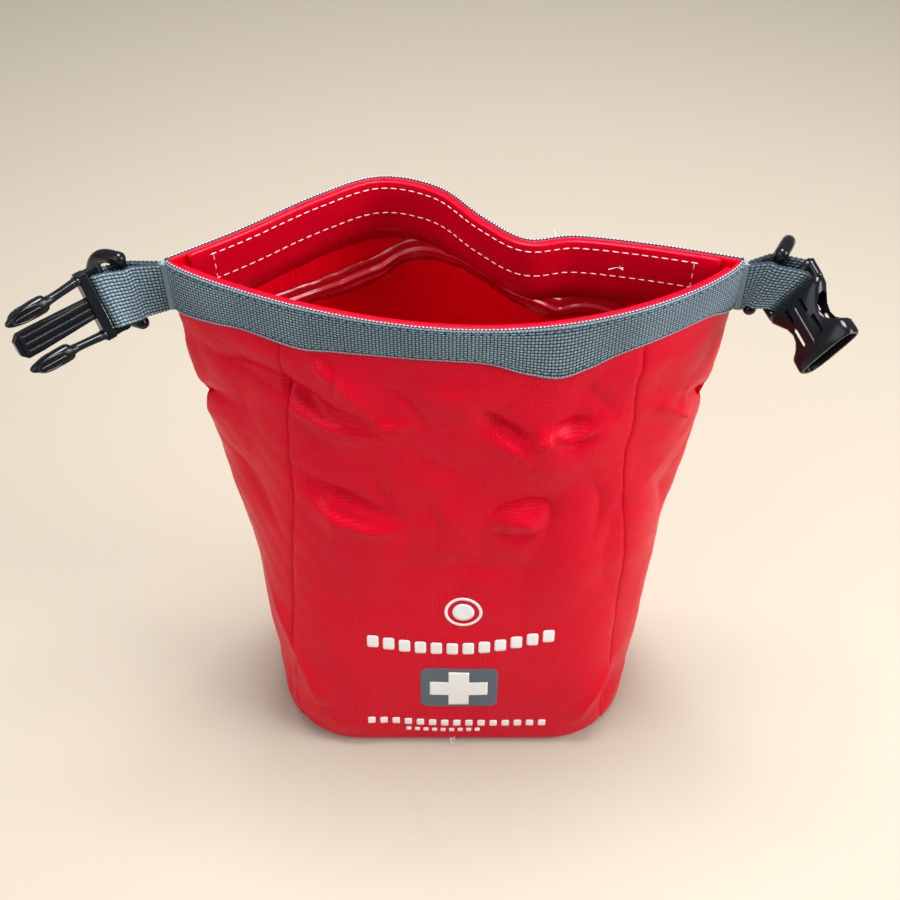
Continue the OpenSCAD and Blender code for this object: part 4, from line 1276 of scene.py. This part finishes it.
class BAG_OT_hardware(Operator):
    """Build the D-rings, the corner tacks and the two halves of the side-release buckle"""
    bl_idname = "bag.hardware"
    bl_label = "Buckle and rings"

    def execute(self, context):
        for node in ("left_d_ring", "right_d_ring"):
            cad_copy(node, "plastic", 0.0)
        cad_copy("male_frame", "plastic", 0.45)
        for node in ("left_corner_tack", "right_corner_tack"):
            cad_copy(node, "tack", 0.15)
        self.prongs()
        self.female()
        return {"FINISHED"}

    @staticmethod
    def prongs():
        """The two spring arms: a slim arm and a leaf-shaped head, rimmed and ridged on each face."""
        origin, x, y, z = buckle_frame("male_swing", "male_frame")
        shape = ((6.4, 1.0, 1.5, 10.4), (7.2, 1.45, 2.0, 10.4), (10, 1.4, 2.0, 10.2),
                 (14, 1.3, 1.9, 9.8), (17.5, 1.35, 1.8, 9.5), (19.6, 1.6, 1.9, 9.4),
                 (20.3, 2.6, 2.2, 9.4), (21.5, 2.95, 2.4, 9.3),
                 (24.5, 3.0, 2.45, 9.3), (28, 2.75, 2.4, 9.2), (31, 2.2, 2.25, 9.0), (33.2, 1.5, 1.95, 8.8),
                 (34.6, 0.85, 1.5, 8.7), (35.1, 0.3, 0.8, 8.7))
        for side, body, node in ((1, "upper_arm", "upper_prong"), (-1, "lower_arm", "lower_prong")):
            def place(px, py, pz):
                return origin + px * x + py * y + side * pz * z
            arm = loft(place, shape, 2.8)
            arm.name = node + "_made"
            arm.data.materials.append(material("plastic"))
            arm.data.shade_smooth()
            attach(arm, body)
            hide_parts(node)
            turn = np.linspace(0, 2 * math.pi, 41)
            lines = [[place(7.8, py, 10.4) for py in (-2.3, 0, 2.3)]]
            thick = [1.3]
            for face in (-1, 1):
                rim = [(27.4 + 5.6 * math.cos(t), 9.25 + 1.95 * math.sin(t)) for t in turn]
                spine = [(px, 9.35 - 0.003 * (px - 24) ** 2) for px in np.linspace(22, 33, 9)]
                for outline in (rim, spine):
                    lines.append([place(px, face * 2.3, pz) for px, pz in outline])
                thick += [0.36, 0.42]
            for name, chosen in (("_knuckle", (0,)), ("_rim", (1, 3)), ("_spine", (2, 4))):
                mesh = tube_mesh(node + name, [lines[k] for k in chosen], thick[chosen[0]], 10)
                finish_piece(node + name, mesh, [material("plastic")], body)

    @staticmethod
    def female():
        """The hollow, waisted half of the buckle, with its socket, side windows and slots cut out."""
        origin, x, y, z = buckle_frame("female_swing", "female_buckle")

        def place(px, py, pz):
            return origin + px * x + py * y + pz * z
        body = loft(place, ((4.3, 11.0, 1.4), (4.7, 11.9, 2.5), (6.2, 12.4, 3.5), (8.0, 12.0, 4.0),
                            (10.5, 10.2, 4.2), (13.5, 8.1, 4.3), (16.5, 7.3, 4.3), (19.0, 8.0, 4.3),
                            (21.2, 9.9, 4.3), (22.6, 11.9, 4.4), (23.6, 12.5, 4.6), (26.0, 12.6, 4.7),
                            (28.0, 12.5, 4.7), (28.6, 12.1, 4.4)), 3.2)
        socket = ((7.6, 10.2, 2.9), (24.5, 10.2, 2.9), (26.5, 10.7, 3.2), (30.0, 11.6, 3.9))
        cuts = [loft(place, socket, 4.0)]
        for side in (-1, 1):
            cuts.append(block(place, (8.4, 13.6), (-6, 6), (side * 2.6, side * 4.1)))
            cuts.append(block(place, (15.6, 22.6), (-6, 6), (side * 3.4, side * 5.2)))
        for cut in cuts:
            carve = body.modifiers.new("cut", "BOOLEAN")
            carve.operation = "DIFFERENCE"
            carve.solver = "EXACT"
            carve.object = cut
        bpy.context.view_layer.update()
        graph = bpy.context.evaluated_depsgraph_get()
        mesh = bpy.data.meshes.new_from_object(body.evaluated_get(graph))
        for helper in (body, *cuts):
            bpy.data.objects.remove(helper)
        mesh.name = "female_shell"
        mesh.materials.clear()
        outwards(mesh, 1e-6)
        piece = finish_piece("female_shell", mesh, [material("plastic")], "female_half",
                             ["female_buckle"])
        rounder = piece.modifiers.new("edges", "BEVEL")
        rounder.width = 0.3 * MM
        rounder.segments = 2
        rounder.limit_method = "ANGLE"
        rounder.angle_limit = math.radians(38)
        mesh.set_sharp_from_angle(angle=math.radians(42))
        bar = [place(0, 0, pz) for pz in np.linspace(-12.0, 12.0, 5)]
        rails, ribs = [], []
        for side in (-1, 1):
            rails.append([place(px, 0, side * (11.7 - 0.05 * px)) for px in np.linspace(-1.0, 6.0, 6)])
            ribs.append([place(px, side * (4.05 + 0.02 * (px - 9)), 0) for px in np.linspace(8.5, 25.5, 8)])
        rods = (("female_bar", [bar], 1.9, 16), ("female_rails", rails, 1.55, 12),
                ("female_ribs", ribs, 0.62, 10))
        for name, lines, radius, count in rods:
            mesh = tube_mesh(name, lines, radius, count)
            finish_piece(name, mesh, [material("plastic")], "female_half")


# ---------- supplies ----------

def supply_recipes():
    return {
        "fringe": lambda: plain_material("fringe_yarn", (0.62, 0.62, 0.64), 0.8, 2500.0, 0.0002, 0.1),
        "tack": lambda: plain_material("tack_thread", (0.20, 0.27, 0.31), 0.8, 1500.0, 0.0003, 0.15),
        "gauze": lambda: plain_material("bandage_cloth", (0.78, 0.74, 0.64), 0.85, 1800.0, 0.0003, 0.15,
                                        Sheen_Weight=0.3),
        "plaster": lambda: plain_material("tape_cloth", (0.72, 0.56, 0.40), 0.75, 1600.0, 0.0002, 0.12),
        "card": lambda: plain_material("card", (0.46, 0.36, 0.24), 0.85, 700.0, 0.0002, 0.15),
        "paper": lambda: plain_material("packet_paper", (0.80, 0.80, 0.76), 0.55, 500.0, 0.0003, 0.1),
        "steel": lambda: plain_material("steel", (0.62, 0.63, 0.65), 0.24, 300.0, 0.00003, 0.08,
                                        Metallic=1.0),
        "grip": lambda: plain_material("grip_plastic", (0.72, 0.17, 0.02), 0.38, 900.0, 0.0001, 0.1),
    }


def roll_mesh(name, centre, low, high, inner, outer, thick, wobble):
    """A strip wound into a standing roll, as one closed spiral sheet."""
    turns = max(2, round((outer - inner) / thick))
    angle = np.linspace(0, turns * 2 * math.pi, turns * 40 + 1)
    radius = inner + (outer - thick * 0.9 - inner) * angle / angle[-1]
    zs = spaced(low, high, 2.0)
    a, z = np.meshgrid(angle, zs)
    r = np.tile(radius, (len(zs), 1))
    end = np.minimum(z - low, high - z)
    z = z + wobble * np.sin(a * 3.1 + 0.7 * np.sin(a)) * np.exp(-end / 2)

    def shell(extra):
        return np.stack([centre[0] + (r + extra) * np.cos(a), centre[1] + (r + extra) * np.sin(a), z], -1)
    return sheet_mesh(name, shell(0.86 * thick), shell(0.0), np.stack([a * r, z], -1))


def packet_mesh(name, centre_x, back_y, low, wide, tall, thick, seed):
    """A flat sachet with crimped ends and a soft middle."""
    rng = np.random.default_rng(seed)
    xs, zs = np.meshgrid(spaced(-wide / 2, wide / 2, 0.8), spaced(0, tall, 0.8))
    inside = smooth((wide / 2 - np.abs(xs) - 1) / 6) * smooth((np.minimum(zs, tall - zs) - 5) / 8)
    folds = 0.12 * np.sin(xs * 0.5 + zs * 0.11 + rng.uniform(0, 6)) * np.sin(zs * 0.23 + rng.uniform(0, 6))
    crimp = np.where(np.minimum(zs, tall - zs) < 5, 0.08 * np.sin(zs * 2 * math.pi / 1.6), 0)
    half = 0.22 + (thick / 2 - 0.32) * inside * (0.85 + folds)
    points = [np.stack([centre_x + xs, back_y + side * half + crimp, low + zs], -1) for side in (-1, 1)]
    return sheet_mesh(name, points[0], points[1], np.stack([xs, zs], -1))


class BAG_OT_supplies(Operator):
    """Build the bandage, the tape, the dressings, the scissors and the tweezers"""
    bl_idname = "bag.supplies"
    bl_label = "Supplies"

    def execute(self, context):
        low, high = [np.array(v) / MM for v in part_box("rolled_bandage")]
        centre, radius = (low + high) / 2, (high[0] - low[0]) / 2
        mesh = roll_mesh("bandage", centre, low[2] + 0.5, high[2] - 0.5, 2.4, radius, 1.3, 0.45)
        outwards(mesh)
        finish_piece("bandage_roll", mesh, [material("gauze")] * 2, "bandage",
                     ["rolled_bandage"])
        low, high = [np.array(v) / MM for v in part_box("tape_roll")]
        core_low, core_high = [np.array(v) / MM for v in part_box("tape_core")]
        centre, radius = (low + high) / 2, (high[0] - low[0]) / 2
        bore = (core_high[0] - core_low[0]) / 2 + 0.02
        mesh = roll_mesh("tape", centre, low[2], high[2], bore, radius, 0.42, 0.05)
        outwards(mesh)
        finish_piece("tape_wound", mesh, [material("plaster")] * 2, "tape", ["tape_roll"])
        cad_copy("tape_core", "card", 0.2)
        low, high = [np.array(v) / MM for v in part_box("dressing_packets")]
        step = (high[1] - low[1]) / 3
        for k in range(3):
            mesh = packet_mesh(f"packet_{k + 1}", (low[0] + high[0]) / 2, low[1] + (k + 0.5) * step, low[2],
                               high[0] - low[0], high[2] - low[2], step - 0.1, k)
            outwards(mesh)
            piece = finish_piece(f"packet_{k + 1}", mesh, [material("paper")] * 2, "dressings",
                                 ["dressing_packets"])
        for node in ("scissor_blade_a", "scissor_blade_b", "scissor_rivet", "tweezers"):
            cad_copy(node, "steel", 0.18)
        for node in ("scissor_grip_a", "scissor_grip_b"):
            cad_copy(node, "grip", 0.8)
        return {"FINISHED"}


# ---------- stage ----------

# Half the floor's side, where the lights point and where the camera stands, in metres; tilt in degrees
FLOOR_REACH = 4.0
LIGHT_TARGET = Vector((0, 0, 0.14))
CAMERA_PLACE = (-0.0015, -0.335, 0.496)
CAMERA_TILT = 43.1
ROOM_COLOUR = (0.93, 0.97, 1.0, 1)


class BAG_OT_stage(Operator):
    """Lay the floor, hang the soft lights and set the camera"""
    bl_idname = "bag.stage"
    bl_label = "Stage"

    def execute(self, context):
        look = settings()[2]
        scene = bpy.context.scene
        mesh = bpy.data.meshes.new("floor")
        corners = [(x * FLOOR_REACH, y * FLOOR_REACH, 0) for x, y in ((-1, -1), (1, -1), (1, 1), (-1, 1))]
        mesh.from_pydata(corners, [], [(0, 1, 2, 3)])
        floor = finish_piece("floor", mesh, [shader("floor", look.floor, 0.75)[0]])
        for name, place, watts, size in (("key", (0.66, -0.22, 0.52), look.key_power, 0.42),
                                         ("top", (0.02, 0.12, 1.05), look.top_power, 0.4),
                                         ("fill", (-0.60, -0.40, 0.60), look.fill_power, 0.8)):
            data = bpy.data.lights.new(name, "AREA")
            data.energy = watts
            data.size = size
            lamp = bpy.data.objects.new(name, data)
            lamp.location = place
            aim = LIGHT_TARGET - lamp.location
            lamp.rotation_euler = aim.to_track_quat("-Z", "Y").to_euler()
            scene.collection.objects.link(lamp)
        world = bpy.data.worlds.new("studio")
        world.use_nodes = True
        background = world.node_tree.nodes["Background"].inputs
        background["Color"].default_value = ROOM_COLOUR
        background["Strength"].default_value = look.room
        scene.world = world
        data = bpy.data.cameras.new("camera")
        data.lens = look.lens
        camera = bpy.data.objects.new("camera", data)
        camera.location = CAMERA_PLACE
        camera.rotation_euler = (math.radians(CAMERA_TILT), 0, 0)
        scene.collection.objects.link(camera)
        scene.camera = camera
        scene.view_settings.view_transform = "Standard"
        return {"FINISHED"}


# ---------- add-on ----------

STEPS = (BAG_OT_stage, BAG_OT_shell, BAG_OT_hem, BAG_OT_webbing, BAG_OT_stitching, BAG_OT_print,
         BAG_OT_straps, BAG_OT_hardware, BAG_OT_supplies)


class BAG_PT_build(Panel):
    """Settings and build steps, in the sidebar"""
    bl_label = "First Aid Bag"
    bl_idname = "BAG_PT_build"
    bl_space_type = "VIEW_3D"
    bl_region_type = "UI"
    bl_category = "First Aid Bag"

    def draw(self, context):
        for group in settings():
            box = self.layout.box()
            for key in group.__annotations__:
                box.prop(group, key)
        for step in STEPS:
            self.layout.operator(step.bl_idname)


GROUPS = {"bag_sizes": BagSizes, "bag_cloth": ClothLook, "bag_stage": StageLook}


def register():
    for made in (*GROUPS.values(), *STEPS, BAG_PT_build):
        bpy.utils.register_class(made)
    for name, group in GROUPS.items():
        setattr(bpy.types.Scene, name, PointerProperty(type=group))


def unregister():
    for name in GROUPS:
        delattr(bpy.types.Scene, name)
    for made in reversed((*GROUPS.values(), *STEPS, BAG_PT_build)):
        bpy.utils.unregister_class(made)


def main():
    register()
    bpy.ops.bag.stage()
    bpy.ops.bag.shell()
    bpy.ops.bag.hem()
    bpy.ops.bag.webbing()
    bpy.ops.bag.stitching()
    bpy.ops.bag.print()
    bpy.ops.bag.straps()
    bpy.ops.bag.hardware()
    bpy.ops.bag.supplies()


if __name__ == "__main__":
    main()
